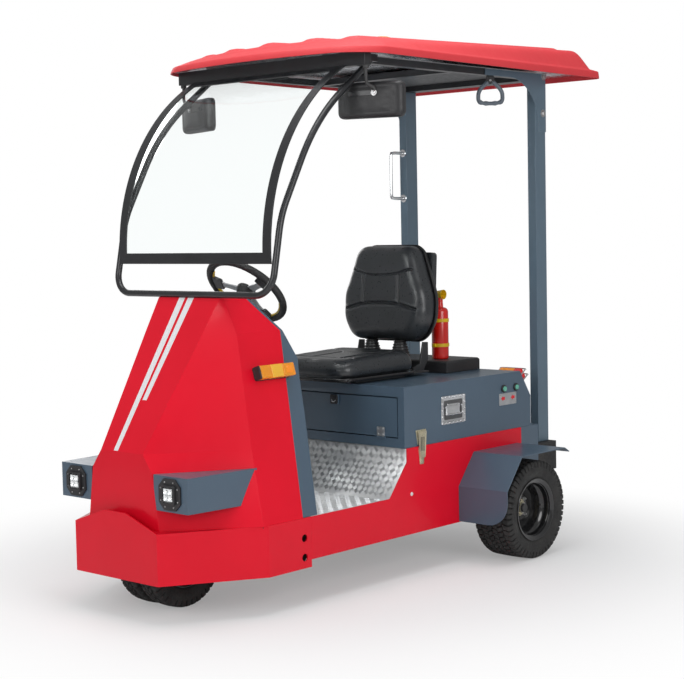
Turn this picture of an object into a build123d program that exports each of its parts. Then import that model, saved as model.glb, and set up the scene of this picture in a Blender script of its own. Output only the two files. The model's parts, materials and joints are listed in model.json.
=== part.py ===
from build123d import *
import os
from math import cos, sin, radians, degrees, atan2, tan

os.makedirs("parts", exist_ok=True)

# Airport baggage tug. Millimetres, X to the vehicle's left, Y rearwards, Z up.
# Every Y below is a station measured back from the bumper's front face.

# Wheels
rear_tyre_radius = 228.6
rear_tyre_width = 199.0
tyre_side_gap = 34.0
rear_axle_y = 1902.0
rear_rim_seat = 127.0
front_tyre_radius = 200.0
front_tyre_width = 100.0
front_tyre_gap = 22.0
front_axle_y = 286.0
front_rim_seat = 101.0
rim_flange = 17.0
rim_wall = 4.0
tyre_lap = 4.0
tyre_shoulder = 9.0
tyre_draft = 2.0
tyre_crown = 2.0
lug_circle = 101.6
lug_radius = 9.0
rim_disc = 6.0
spindle_radius = 20.0
rear_disc_at = -12.0
front_disc_at = 4.0
running_gap = 0.3

# Body: widths are half widths
body_half = 488.0
side_step = 4.0
side_wall = 44.0
sill_bottom = 188.0
sill_top = 366.0
deck_top = 572.0
wheel_cut_y = 1640.0
wheel_cut_z = 300.0
floor_rear_y = 1127.0
riser_y = 1251.0
riser_z = 512.0
body_rear_y = 2110.0
sheet = 4.0

# Bumper
bumper_half = 253.0
bumper_bottom = 158.0
bumper_bend_y = 384.0
bumper_rear_y = 630.0
bumper_wall = 6.0
nose_rise = 64.0
nose_half = 68.0
bumper_hole_radius = 16.0
bumper_hole_y = 590.0
bumper_hole_heights = (203.0, 283.0)

# Hood: the side panels lean inwards up to the bend
hood_front_y = 45.5
hood_bend_z = 1120.0
hood_bend_half = 254.0
hood_top_z = 1267.0
hood_top_half = 190.0
hood_wall = 5.0

# Seat box, which lifts about its rear bottom edge
box_front_y = 1240.0
box_top = 843.0
box_slope_run = 84.0
box_slope_z = 719.0
box_gap = 0.5
box_wall = 4.0
door_left_margin = 36.0
door_right_margin = 192.0
door_bottom = 614.0
door_top = 797.0
door_gap = 5.0
door_sheet = 6.0
pocket_depth = 240.0
hinge_out = 4.0

# Windscreen, an arc seen from the side
header_low = 2214.6
screen_radius = 862.0
screen_start = -3.0
screen_end = 62.6
screen_top_y = 922.7
screen_half = 466.0
screen_strip = 46.0
screen_sheet = 6.0
glass_sheet = 5.0
tube_radius = 14.0

# Roof: its lip falls a little rearwards while its crown rises
roof_half = 625.0
roof_front_y = 765.0
roof_rear_y = 2640.0
lip_front_z = 2262.0
lip_rear_z = 2250.0
roof_wall = 6.0
roof_corner = 150.0
roof_bow = 90.0
rib_width = 104.0
rib_crest = 44.0
rib_height = 13.0
rib_round = 20.0
rib_places = (-440.0, -245.0, 0.0, 245.0, 440.0)
rail_low = 2243.0
rail_width = 40.0
rail_height = 30.0
liner_sheet = 3.0
beacon_radius = 52.0
beacon_height = 52.0
beacon_y = 1700.0
beacon_foot = 14.0
beacon_round = 18.0

# Rear posts
post_x = 408.0
post_width = 47.0
post_depth = 86.0
post_swing = 140.0
tail_step = 10.0
tail_bottom = 330.0
tail_top = 470.0

# Seat
seat_half = 240.0
seat_front_y = 1122.0
seat_rear_y = 1640.0
cushion_bottom = 872.0
cushion_front_height = 70.0
cushion_rear_height = 96.0
cushion_corner = 70.0
cushion_round = 28.0
back_bottom = 1005.0
back_height = 459.0
back_front_y = 1644.0
back_lean = 3.7
back_depth = 105.0
back_corner = 45.0
back_round = 38.0
back_shell_depth = 35.0

# Steering
steer_centre_y = 770.0
steer_centre_z = 1282.0
steer_radius = 195.0
steer_rim = 14.0
steer_tilt = 45.0
column_radius = 28.0
column_length = 320.0
steer_stem = 12.0

# Tow hitch
hitch_z = 345.0
hitch_bore = 14.0
hitch_plate = 14.0
hitch_mouth = 56.0
hitch_reach = 118.0

# Places that follow from the sizes above
rear_tyre_inner = body_half + tyre_side_gap
hood_side_foot = body_half - side_step
box_slope_y = body_rear_y
box_rear_y = box_slope_y + box_slope_run
post_y = box_rear_y + post_swing
tail_rear_y = post_y + post_depth + tail_step
screen_centre_y = screen_top_y + (screen_radius - screen_sheet / 2) * cos(radians(screen_end))
screen_centre_z = header_low - (screen_radius - screen_sheet / 2) * sin(radians(screen_end))
box_half = body_half - side_step
door_left = box_half - door_left_margin
door_right = door_right_margin - box_half
post_outer = post_x + post_width / 2
rail_x = post_outer - rail_width / 2
rail_top = rail_low + rail_height
tube_x = screen_half + tube_radius
frame_shift = -max(roof_rear_y, tail_rear_y + hitch_reach) / 2


# Plain helpers

def block(x0, x1, y0, y1, z0, z1):
    centre = Pos((x0 + x1) / 2, (y0 + y1) / 2, (z0 + z1) / 2)
    return centre * Box(abs(x1 - x0), abs(y1 - y0), abs(z1 - z0))


def both(piece):
    return [piece, mirror(piece, about=Plane.YZ)]


def side_prism(points, x0, x1):
    # An outline of (y, z) points carried along X.
    outline = Polyline(*[(x0, y, z) for y, z in points], close=True)
    return extrude(make_face(outline), amount=x1 - x0, dir=(1, 0, 0))


def plan_prism(points, z0, z1):
    # An outline of (x, y) points carried along Z.
    outline = Polyline(*[(x, y, z0) for x, y in points], close=True)
    return extrude(make_face(outline), amount=z1 - z0, dir=(0, 0, 1))


def front_prism(points, y0, y1):
    # An outline of (x, z) points carried along Y.
    outline = Polyline(*[(x, y0, z) for x, z in points], close=True)
    return extrude(make_face(outline), amount=y1 - y0, dir=(0, 1, 0))


def rod_x(x0, x1, y, z, radius):
    return Pos((x0 + x1) / 2, y, z) * Rot(0, 90, 0) * Cylinder(radius, abs(x1 - x0))


def rod_y(x, y0, y1, z, radius):
    return Pos(x, (y0 + y1) / 2, z) * Rot(90, 0, 0) * Cylinder(radius, abs(y1 - y0))


def rod_z(x, y, z0, z1, radius):
    return Pos(x, y, (z0 + z1) / 2) * Cylinder(radius, abs(z1 - z0))


def spun(points, x, y, z):
    # A closed outline of (axial, radial) points turned about the X line through y, z.
    outline = Polyline(*[(x + a, y, z + r) for a, r in points], close=True)
    return revolve(make_face(outline), axis=Axis((0, y, z), (1, 0, 0)))


def bent_rod(points, radii, radius):
    path = FilletPolyline(*points, radius=radii)
    section = Plane(origin=path @ 0, z_dir=path % 0) * Circle(radius)
    return sweep(section, path=path)


def fused(pieces):
    whole = pieces[0]
    for piece in pieces[1:]:
        whole = whole + piece
    return whole


# Wheels

def tyre(centre_x, y, radius, width, seat):
    half = width / 2
    bead = half - 2 * rim_wall - tyre_lap
    heel = seat + rim_flange + tyre_lap
    bulge = (seat + radius) / 2 + tyre_lap
    shoulder = radius - tyre_shoulder
    tread = half - 1.6 * tyre_shoulder
    outline = [(-bead, seat), (-bead, heel), (-half, bulge), (-half + tyre_draft, shoulder),
               (-tread, radius - tyre_crown), (0, radius), (tread, radius - tyre_crown),
               (half - tyre_draft, shoulder), (half, bulge), (bead, heel), (bead, seat)]
    return spun(outline, centre_x, y, radius)


def rim(centre_x, y, z, width, seat, disc_at, bore):
    # Barrel with two flanges and a drop centre, and a disc set deep inside.
    edge = width / 2 - 2 * rim_wall - tyre_lap
    lip = edge + rim_wall
    drop = 0.14 * seat
    top = seat + rim_flange
    low = seat - rim_wall
    step = 0.5 * edge
    well = 0.3 * edge
    outer = [(-lip, top), (-edge, top), (-edge, seat), (-step, seat), (-well, seat - drop),
             (well, seat - drop), (step, seat), (edge, seat), (edge, top), (lip, top)]
    inner = [(lip, low), (step + rim_wall, low), (well + rim_wall, low - drop),
             (-well - rim_wall, low - drop), (-step - rim_wall, low), (-lip, low)]
    barrel = spun(outer + inner, centre_x, y, z)
    reach = low - drop + 1
    back = disc_at + rim_disc
    disc = spun([(disc_at, bore), (disc_at, reach), (back, reach), (back, bore)], centre_x, y, z)
    return barrel + disc


def rear_rim():
    centre = rear_tyre_inner + rear_tyre_width / 2
    bore = spindle_radius + running_gap
    z = rear_tyre_radius
    wheel = rim(centre, rear_axle_y, z, rear_tyre_width, rear_rim_seat, rear_disc_at, bore)
    hub = spun([(-30, bore), (-30, 42), (14, 42), (20, 34), (20, bore)], centre, rear_axle_y, z)
    wheel = wheel + hub
    for turn in range(4):
        angle = radians(45 + 90 * turn)
        nut_y = rear_axle_y + lug_circle / 2 * cos(angle)
        nut_z = rear_tyre_radius + lug_circle / 2 * sin(angle)
        wheel = wheel + rod_x(centre - 8, centre + 12, nut_y, nut_z, lug_radius)
    return wheel


def rear_tyre():
    centre = rear_tyre_inner + rear_tyre_width / 2
    return tyre(centre, rear_axle_y, rear_tyre_radius, rear_tyre_width, rear_rim_seat)


front_centre = (front_tyre_gap + front_tyre_width) / 2
fork_inner = front_tyre_gap / 2 + front_tyre_width + 10
fork_plate = 8.0
front_pin = 10.0
crown_z = 2 * front_tyre_radius + 14
crown_sheet = 12.0
crown_half = 55.0
stem_radius = 22.0
stem_height = 116.0


def front_tyres():
    return both(tyre(front_centre, front_axle_y, front_tyre_radius, front_tyre_width, front_rim_seat))


def front_rims():
    bore = front_pin + running_gap
    halves = both(rim(front_centre, front_axle_y, front_tyre_radius, front_tyre_width, front_rim_seat,
                      front_disc_at, bore))
    reach = fork_inner - running_gap
    hub = spun([(-reach, bore), (-reach, 26), (reach, 26), (reach, bore)], 0, front_axle_y, front_tyre_radius)
    return fused(halves + [hub])


def steering_fork():
    y = front_axle_y
    outer = fork_inner + fork_plate
    crown_top = crown_z + crown_sheet
    leg = side_prism([(y - 32, front_tyre_radius - 30), (y + 32, front_tyre_radius - 30),
                      (y + crown_half, crown_top), (y - crown_half, crown_top)], fork_inner, outer)
    crown = block(-outer, outer, y - crown_half, y + crown_half, crown_z, crown_top)
    stem = rod_z(0, y, crown_top, crown_top + stem_height, stem_radius)
    arm = block(-20, 20, y, y + 90, crown_top + stem_height - crown_sheet, crown_top + stem_height)
    pin = rod_x(-outer - 12, outer + 12, y, front_tyre_radius, front_pin)
    return fused(both(leg) + [crown, stem, arm, pin])


def rear_axle():
    y = rear_axle_y
    z = rear_tyre_radius
    inner = rear_tyre_inner + rear_tyre_width / 2 - 32
    beam = rod_x(-inner, inner, y, z, 34)
    spindle = rod_x(-inner - 64, inner + 64, y, z, spindle_radius)
    case = rod_x(-70, 70, y, z, 88)
    motor = rod_x(70, 250, y, z, 74)
    seats = both(block(frame_x - 20, frame_x + 20, y - 45, y + 45, z + 20, frame_low))
    return fused([beam, spindle, case, motor] + seats)


# Frame under the body

frame_low = 300.0
frame_high = sill_top - 2 * sheet
frame_x = 300.0
frame_width = 40.0
frame_front_y = 470.0


def chassis_frame():
    x0 = frame_x - frame_width / 2
    x1 = frame_x + frame_width / 2
    rails = both(block(x0, x1, frame_front_y, tail_rear_y, frame_low, frame_high))
    inner = body_half - side_wall
    for y in (660.0, 1180.0, 1700.0, 2060.0):
        rails.append(block(-inner, inner, y, y + 50, frame_low, frame_high))
    yoke_low = crown_z + crown_sheet + 20
    yoke_high = yoke_low + 60
    bearing = rod_z(0, front_axle_y, yoke_low - 1, yoke_high + 1, stem_radius + running_gap)
    yoke = block(-x1, x1, front_axle_y - 60, front_axle_y + 60, yoke_low, yoke_high) - bearing
    legs = both(block(x0, x1, front_axle_y + 20, frame_front_y + 50, yoke_low, yoke_high))
    drops = both(block(x0, x1, frame_front_y, frame_front_y + 50, frame_low, yoke_high))
    tail_half = body_half - 18
    tail = block(-tail_half, tail_half, post_y - 80, tail_rear_y, tail_bottom, tail_top)
    return fused(rails + [yoke] + legs + drops + [tail])


# The seat box's hinge: three knuckles a side, the middle one on the box.
lift_y = box_rear_y + 8.0
lift_z = deck_top + 6.0
knuckle_radius = 5.0
knuckle_inner = (box_half - 36, box_half - 8)


def tail_plates():
    plate = block(box_half - side_wall, box_half, body_rear_y, post_y - 80, tail_bottom, deck_top)
    inner_knuckle = (box_half - side_wall + 1, knuckle_inner[0] - box_gap)
    outer_knuckle = (knuckle_inner[1] + box_gap, box_half - 1)
    for x0, x1 in (inner_knuckle, outer_knuckle):
        plate = plate + rod_x(x0, x1, lift_y, lift_z, knuckle_radius)
        plate = plate + block(x0, x1, lift_y - 4, lift_y + 4, deck_top, lift_z)
    return both(plate)


def body_sides():
    outline = [(bumper_rear_y, sill_bottom), (wheel_cut_y, sill_bottom), (wheel_cut_y, wheel_cut_z),
               (body_rear_y, wheel_cut_z), (body_rear_y, deck_top), (riser_y, deck_top), (riser_y, riser_z),
               (floor_rear_y, sill_top), (bumper_rear_y, sill_top)]
    return both(side_prism(outline, body_half - side_wall, body_half))


def floor_pan():
    slope = atan2(riser_z - sill_top, riser_y - floor_rear_y)
    back = sheet / sin(slope) - sheet / tan(slope)
    top = [(bumper_rear_y, sill_top), (floor_rear_y, sill_top), (riser_y - sheet, riser_z),
           (riser_y - sheet, deck_top)]
    under = [(riser_y, deck_top), (riser_y, riser_z - back), (floor_rear_y + back, sill_top - sheet),
             (bumper_rear_y, sill_top - sheet)]
    inner = body_half - side_wall
    return side_prism(top + under, -inner, inner)


# Nose

def bumper_plan(inset, rear_y):
    half = body_half - inset
    bend_y = bumper_bend_y + 0.4 * inset
    nose = bumper_half - 0.6 * inset
    return [(-half, rear_y), (-half, bend_y), (-nose, inset), (nose, inset), (half, bend_y), (half, rear_y)]


def bumper():
    wrap = plan_prism(bumper_plan(0, bumper_rear_y), bumper_bottom, sill_top)
    wrap = wrap - plan_prism(bumper_plan(bumper_wall, bumper_rear_y + 1), bumper_bottom - 1,
                             sill_top - bumper_wall)
    well = plan_prism(hood_section(sill_top, hood_wall + 2), sill_top - 2 * bumper_wall, sill_top + 1)
    wrap = wrap - well
    nose = front_prism([(-bumper_half, sill_top), (bumper_half, sill_top), (nose_half, sill_top + nose_rise),
                        (-nose_half, sill_top + nose_rise)], 0, bumper_wall)
    wrap = wrap + nose
    for z in bumper_hole_heights:
        wrap = wrap - rod_x(-body_half - 10, body_half + 10, bumper_hole_y, z, bumper_hole_radius)
    return wrap


# Hood sections from the foot up. Columns: height, front y, front half width,
# crease y, crease half width, rear y. The rear half width equals the crease's.
side_lean = (hood_side_foot - hood_bend_half) / (hood_bend_z - sill_top)
hood_table = [
    (sill_top, hood_front_y, 217.0, 361.0, hood_side_foot, 587.0),
    (592.0, hood_front_y, 184.0, 385.0, hood_side_foot - side_lean * (592.0 - sill_top), 625.0),
    (665.0, hood_front_y + 1.5, 129.0, 393.0, hood_side_foot - side_lean * (665.0 - sill_top), 637.0),
    (hood_bend_z, 338.0, 175.0, 460.0, hood_bend_half, 712.0),
    (hood_top_z, 432.0, hood_top_half - 2, 452.0, hood_top_half, 568.0),
]


def hood_row(z):
    # The table's values at a height, in line between its rows.
    for low, high in zip(hood_table, hood_table[1:]):
        if z <= high[0]:
            break
    share = (z - low[0]) / (high[0] - low[0])
    return [a + share * (b - a) for a, b in zip(low, high)]


def hood_section(z, inset, rear_extra=0.0):
    height, front_y, front_half, crease_y, crease_half, rear_y = hood_row(z)
    front_half = front_half - 0.6 * inset
    half = crease_half - 1.05 * inset
    crease = crease_y + 0.6 * inset
    return [(-half, rear_y + rear_extra), (-half, crease), (-front_half, front_y + 1.15 * inset),
            (front_half, front_y + 1.15 * inset), (half, crease), (half, rear_y + rear_extra)]


def stack(sections):
    # Ruled walls from each flat section to the next, fused.
    parts = []
    for (low_z, low), (high_z, high) in zip(sections, sections[1:]):
        faces = [make_face(Polyline(*[(x, y, z) for x, y in pts], close=True))
                 for z, pts in ((low_z, low), (high_z, high))]
        parts.append(loft(faces, ruled=True))
    return fused(parts)


def hood_solid(inset=0.0, rear_extra=0.0, foot=0.0, head=0.0):
    heights = [row[0] for row in hood_table]
    heights[-1] = heights[-1] - head
    sections = [(z, hood_section(z, inset, rear_extra)) for z in heights]
    sections[0] = (heights[0] - foot, sections[0][1])
    return stack(sections)


def hood_shell():
    return hood_solid() - hood_solid(hood_wall, 6.0, 1.0, hood_wall)


# Console behind the hood. Columns: height, depth behind the hood's rear edge.
console_table = [(sill_top, 87.0), (592.0, 87.0), (665.0, 87.0), (785.0, 87.0), (908.0, 83.0),
                 (1000.0, 86.0), (hood_bend_z, 16.0), (hood_top_z, 16.0)]


def console():
    sections = []
    for z, depth in console_table:
        row = hood_row(z)
        rear_y, half = row[5], row[4]
        back = rear_y + depth
        sections.append((z, [(-half, rear_y), (half, rear_y), (half, back), (-half, back)]))
    return stack(sections)


lamp_box_low = 450.0
lamp_box_high = 592.0
lamp_box_inner = 192.0
lamp_box_outer = 390.0
lamp_box_flare = 28.0
lamp_box_rear_y = 396.0
lamp_flange = 118.0
lamp_flange_corner = 33.0
lamp_flange_sheet = 8.0
lamp_lens = 80.0
lamp_proud = 30.0


def lamp_boxes():
    front = hood_front_y
    housing = plan_prism([(lamp_box_inner, front), (lamp_box_outer, front),
                          (lamp_box_outer + lamp_box_flare, lamp_box_rear_y),
                          (lamp_box_inner, lamp_box_rear_y)], lamp_box_low, lamp_box_high)
    return both(housing - hood_solid())


def headlamps():
    x = (lamp_box_inner + lamp_box_outer) / 2
    z = (lamp_box_low + lamp_box_high) / 2
    half = lamp_flange / 2
    cut = half - lamp_flange_corner
    outline = [(-half, -cut), (-cut, -half), (cut, -half), (half, -cut),
               (half, cut), (cut, half), (-cut, half), (-half, cut)]
    back = hood_front_y
    flange = front_prism([(x + a, z + b) for a, b in outline], back - lamp_flange_sheet, back)
    reach = lamp_lens / 2
    lens = block(x - reach, x + reach, back - lamp_proud, back - lamp_flange_sheet, z - reach, z + reach)
    return both(flange + lens)


side_lamp_y = 601.0
side_lamp_z = 953.0
side_lamp_length = 205.0
side_lamp_height = 58.0
side_lamp_depth = 44.0


def side_lamps():
    lean = degrees(atan2(side_lean, 1.0))
    x = hood_side_foot - side_lean * (side_lamp_z - sill_top)
    case = Box(side_lamp_depth, side_lamp_length, side_lamp_height)
    return both(Pos(x, side_lamp_y, side_lamp_z) * Rot(0, -lean, 0) * Pos(side_lamp_depth / 2, 0, 0) * case)


# Windscreen

def screen_point(radius, angle):
    return (screen_centre_y - radius * cos(radians(angle)), screen_centre_z + radius * sin(radians(angle)))


def screen_sheet_part(outer, inner, start, end, half):
    # A bent sheet between two radii and two angles.
    middle = (start + end) / 2
    points = [(0,) + screen_point(r, a) for r, a in
              ((outer, start), (outer, middle), (outer, end), (inner, end), (inner, middle), (inner, start))]
    edge = Wire([ThreePointArc(*points[0:3]).edge(), Line(points[2], points[3]).edge(),
                 ThreePointArc(*points[3:6]).edge(), Line(points[5], points[0]).edge()])
    return extrude(Face(edge), amount=half, dir=(1, 0, 0), both=True)


def windscreen_frame():
    strip = degrees(screen_strip / screen_radius)
    r0 = screen_radius - screen_sheet / 2
    r1 = screen_radius + screen_sheet / 2
    plate = screen_sheet_part(r1, r0, screen_start, screen_end, screen_half)
    hole = screen_sheet_part(r1 + 20, r0 - 20, screen_start + strip, screen_end - strip,
                             screen_half - screen_strip)
    return plate - hole


def windscreen_glass():
    r1 = screen_radius - screen_sheet / 2
    return screen_sheet_part(r1, r1 - glass_sheet, screen_start + 1, screen_end - 1, screen_half - 20)


# The tube's bends beside the screen. Columns: offset from the screen's radius, angle.
tube_table = [(-28.1, 71.98), (-57.0, 42.13), (-34.5, 10.37), (32.5, -11.0)]
tube_bends = [900.0, 420.0, 90.0]


def tube_points():
    points = [screen_point(screen_radius + offset, angle) for offset, angle in tube_table]
    return points[:-1] + [(points[-1][0], hood_top_z + tube_radius)]


def windscreen_tube():
    side = [(tube_x, y, z) for y, z in tube_points()]
    other = [(-x, y, z) for x, y, z in reversed(side)]
    whole = bent_rod(side + other, tube_bends + tube_bends[::-1], tube_radius)
    tube_top_y = tube_points()[0][0]
    return whole & block(-tube_x - 100, tube_x + 100, 300, tube_top_y + 100, hood_top_z - 50, rail_low)


# Roof moulding. Columns: inset of the sides, of the front and of the rear, rise over
# the lip at the front and at the rear, rear corner radius.
roof_draft = 3.0
roof_table = [
    (0.0, 0.0, 0.0, 0.0, 0.0, 50.0),
    (roof_draft, roof_draft, roof_draft, 36.0, 34.0, 50.0),
    (14.0, 14.0, 45.0, 40.0, 39.0, 80.0),
    (62.0, 70.0, 105.0, 62.0, 118.0, 100.0),
    (112.0, 130.0, 135.0, 83.0, 150.0, 90.0),
    (170.0, 220.0, 190.0, 90.0, 156.0, 80.0),
]


def tilted(y0, z0, y1, z1):
    # A frame on the line from one (y, z) to the other, its z square to it.
    return Pos(0, y0, z0) * Rot(degrees(atan2(z1 - z0, y1 - y0)), 0, 0)


def roof_plan(half, length, bow, front_radius, rear_radius):
    # An outline on XY whose bowed front edge touches y = 0.
    front_arc = ThreePointArc((-half, bow, 0), (0, 0, 0), (half, bow, 0))
    sides = Polyline((half, bow, 0), (half, length, 0), (-half, length, 0), (-half, bow, 0))
    face = make_face(Curve() + front_arc + sides)
    face = fillet(face.vertices().sort_by(Axis.Y)[:2], front_radius)
    return fillet(face.vertices().sort_by(Axis.Y)[-2:], rear_radius)


def roof_level(row, wall=0.0, drop=0.0):
    side, front, rear, front_rise, rear_rise, rear_radius = row
    y0 = roof_front_y + front + wall
    y1 = roof_rear_y - rear - wall
    plan = roof_plan(roof_half - side - wall, y1 - y0, roof_bow, roof_corner - 0.4 * front - wall,
                     rear_radius - wall)
    return tilted(y0, lip_front_z + front_rise - drop, y1, lip_rear_z + rear_rise - drop) * plan


def roof_solid(wall=0.0):
    levels = [roof_level(roof_table[0], wall, min(wall, 1.0))]
    for row in roof_table[1:]:
        levels.append(roof_level(row, wall, wall))
    return fused([loft([low, high], ruled=True) for low, high in zip(levels, levels[1:])])


def roof_ribs():
    # Low ridges along the crown, from one edge of the land to the other.
    side, front, rear, front_rise, rear_rise, corner = roof_table[-1]
    y0, y1 = roof_front_y + front, roof_rear_y - rear
    crown = tilted(y0, lip_front_z + front_rise, y1, lip_rear_z + rear_rise)
    lead = front - roof_table[-2][1] - 15
    tail = rear - roof_table[-2][2] - 15
    length = y1 - y0 + lead + tail
    ribs = []
    for x in rib_places:
        place = crown * Pos(x, (y1 - y0 + tail - lead) / 2, 0)
        foot = place * Pos(0, 0, 2 - roof_wall) * RectangleRounded(rib_width, length, rib_round)
        crest = place * Pos(0, 0, rib_height) * RectangleRounded(rib_crest, length - 110, rib_round)
        ribs.append(loft([foot, crest], ruled=True))
    return ribs


def roof_shell():
    return fused([roof_solid() - roof_solid(roof_wall)] + roof_ribs())


def roof_liner():
    inset = roof_wall + roof_draft + running_gap
    rear_radius = roof_table[0][5] - roof_wall
    plan = roof_plan(roof_half - inset, roof_rear_y - roof_front_y - 2 * inset, roof_bow,
                     roof_corner - roof_wall, rear_radius)
    return Pos(0, roof_front_y + inset, rail_top) * extrude(plan, amount=liner_sheet)


header_depth = 40.0
cross_rail_depth = 60.0
cross_rail_y = tube_points()[0][0] - cross_rail_depth / 2
mirror_stalk_x = tube_x + 80


def roof_frame():
    half = rail_width / 2
    rear = post_y + post_depth
    rails = both(block(rail_x - half, rail_x + half, screen_top_y, rear, rail_low, rail_top))
    reach = mirror_stalk_x + 12
    rails.append(block(-reach, reach, screen_top_y, screen_top_y + header_depth, header_low, rail_top))
    reach = tube_x + tube_radius + 6
    rails.append(block(-reach, reach, cross_rail_y, cross_rail_y + cross_rail_depth, rail_low, rail_top))
    rails.append(block(-rail_x, rail_x, beacon_y, beacon_y + rail_width, rail_low, rail_top))
    rails.append(block(-rail_x, rail_x, post_y, rear, rail_low, rail_top))
    return fused(rails)


def crown_z_at(y):
    side, front, rear, front_rise, rear_rise, corner = roof_table[-1]
    y0, y1 = roof_front_y + front, roof_rear_y - rear
    z0, z1 = lip_front_z + front_rise, lip_rear_z + rear_rise
    return z0 + (z1 - z0) * (y - y0) / (y1 - y0)


def beacon():
    seat = crown_z_at(beacon_y)
    base = seat + rib_height
    foot = rod_z(0, beacon_y, seat - roof_wall, base + beacon_foot, beacon_radius + 4)
    dome = rod_z(0, beacon_y, base + beacon_foot, base + beacon_height, beacon_radius)
    foot = fused([foot - roof_solid()] + [dome])
    for rib in roof_ribs():
        foot = foot - rib
    return fillet(foot.edges().group_by(Axis.Z)[-1], beacon_round)


knee_sheet = 5.0
knee_front_y = 1930.0
knee_radius = 230.0
knee_strip = 62.0
knee_tail = 250.0


def posts():
    x0, x1 = post_outer - post_width, post_outer
    rear = post_y + post_depth
    shaft = block(x0, x1, post_y, rear, tail_top, rail_low)
    # The knee plate on the outer side: a strip on the rail, one on the post, a hollow arc between.
    out = x1 + knee_sheet
    strip = block(x1, out, knee_front_y, rear, rail_low, rail_top)
    tail = block(x1, out, rear - knee_strip, rear, rail_low - knee_tail, rail_low)
    arc_y = rear - knee_strip - knee_radius
    arc_z = rail_low - knee_radius
    web = block(x1, out, arc_y, rear - knee_strip, arc_z, rail_low)
    web = web - rod_x(x1 - 1, out + 1, arc_y, arc_z, knee_radius)
    return both(fused([shaft, strip, tail, web]))


grip_low = 1692.0
grip_high = 1928.0
grip_reach = 100.0
grip_radius = 8.0
strap_y = 2000.0
strap_turn = -45.0
strap_radius = 6.5
strap_plate = 38.0
strap_drop = 33.0


def grab_handles():
    x = -post_x
    front = post_y - grip_reach
    d_grip = bent_rod([(x, post_y, grip_high), (x, front, grip_high), (x, front, grip_low),
                       (x, post_y, grip_low)], [24, 24], grip_radius)
    straps = []
    for side in (1, -1):
        place = Pos(side * rail_x, strap_y, rail_low)
        hanger = Pos(0, 0, -strap_drop / 2) * Box(12, strap_plate, strap_drop)
        corners = [(-8, 6 - strap_drop), (-58, -88), (-46, -126), (46, -126), (58, -88), (8, 6 - strap_drop)]
        loop = bent_rod([(0, y, z) for y, z in corners], [22, 14, 14, 22], strap_radius)
        straps.append(place * Rot(0, 0, side * strap_turn) * (hanger + loop))
    return [d_grip] + straps


mirror_x = 533.0
mirror_y = 1002.0
mirror_z = 2075.0
mirror_turn = 18.0
mirror_width = 300.0
mirror_height = 150.0
mirror_depth = 46.0
mirror_corner = 24.0


def mirrors():
    # A housing that narrows towards its back, hung on a bent stalk from the header rail.
    half = mirror_depth / 2
    glass_side = RectangleRounded(mirror_width, mirror_height, mirror_corner)
    back_side = RectangleRounded(mirror_width - 70, mirror_height - 50, mirror_corner)
    middle = Pos(0, 0, half) * glass_side
    shell = extrude(glass_side, amount=half) + loft([middle, Pos(0, 0, mirror_depth) * back_side], ruled=True)
    shell = Pos(0, half, 0) * Rot(90, 0, 0) * shell
    bar = block(-92, 34, -half - 6, -half, 18, 38)
    head = Pos(mirror_x, mirror_y, mirror_z) * Rot(0, 0, mirror_turn) * (shell + bar)
    stalk_y = screen_top_y + header_depth / 2
    foot = Pos(mirror_x, mirror_y, mirror_z) * Rot(0, 0, mirror_turn) * Pos(26, -half - 4, 28)
    end = foot.position
    stalk = bent_rod([(mirror_stalk_x, stalk_y, header_low), (mirror_stalk_x, stalk_y, header_low - 45),
                      (end.X, end.Y, end.Z)], [30], 7)
    return both(fused([head, stalk]))


# Rear wheel fenders
fender_cover = 41.0
fender_corner = 110.0
fender_top = 501.0
fender_front_y = 1614.0
fender_fold_y = 1731.0
fender_rear_y = 2073.0
fender_outer = rear_tyre_inner + rear_tyre_width + fender_cover
fender_low = 193.0
fender_fold_z = 355.0


def fenders():
    outer = [(fender_front_y, fender_low), (fender_front_y, fender_fold_z), (fender_fold_y, fender_top),
             (fender_rear_y, fender_top), (fender_rear_y + 37, fender_top - 21)]
    inner = [(fender_rear_y + 35, fender_top - 21 - sheet), (fender_rear_y, fender_top - sheet),
             (fender_fold_y + 2, fender_top - sheet), (fender_front_y + sheet, fender_fold_z - 1),
             (fender_front_y + sheet, fender_low)]
    sheet_metal = side_prism(outer + inner, body_half, fender_outer)
    # The front plate's lower outer corner is round.
    x = fender_outer - fender_corner
    z = fender_low + fender_corner
    y0 = fender_front_y - 1
    y1 = fender_front_y + sheet + 1
    corner = block(x, fender_outer + 1, y0, y1, fender_low - 1, z) - rod_y(x, y0, y1, z, fender_corner)
    return both(sheet_metal - corner)


def battery_block():
    inner = body_half - side_wall - 40
    return block(-inner, inner, riser_y + 49, body_rear_y - 60, frame_high, deck_top - 12)


def tow_hitch():
    y = tail_rear_y
    back = block(-80, 80, y, y + 12, hitch_z - 70, hitch_z + 70)
    lugs = []
    for z in (hitch_z - hitch_mouth / 2 - hitch_plate, hitch_z + hitch_mouth / 2):
        lug = block(-50, 50, y + 12, y + hitch_reach, z, z + hitch_plate)
        lugs.append(lug - rod_z(0, y + hitch_reach - 40, z - 1, z + hitch_plate + 1, hitch_bore))
    return fused([back] + lugs)


def pedals():
    pieces = []
    for x, width in ((-110, 90), (90, 70)):
        stand = block(x - 8, x + 8, 720, 736, sill_top, sill_top + 70)
        pad = Pos(x, 744, sill_top + 84) * Rot(-35, 0, 0) * Box(width, 12, 96)
        pieces.append(stand + pad)
    return pieces


# Steering wheel, in its own plane first

def steering_wheel():
    reach = steer_radius - steer_rim
    ring = Torus(reach, steer_rim)
    hub = Pos(0, 0, -18) * Cylinder(44, 40)
    wheel = ring + hub
    for turn in (90, 210, 330):
        spoke = Pos(reach / 2, 0, -6) * Box(reach, 30, 8)
        wheel = wheel + Rot(0, 0, turn) * spoke
    wheel = wheel + Pos(0, 0, -60) * Cylinder(steer_stem, 60)
    return steer_frame() * wheel


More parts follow.
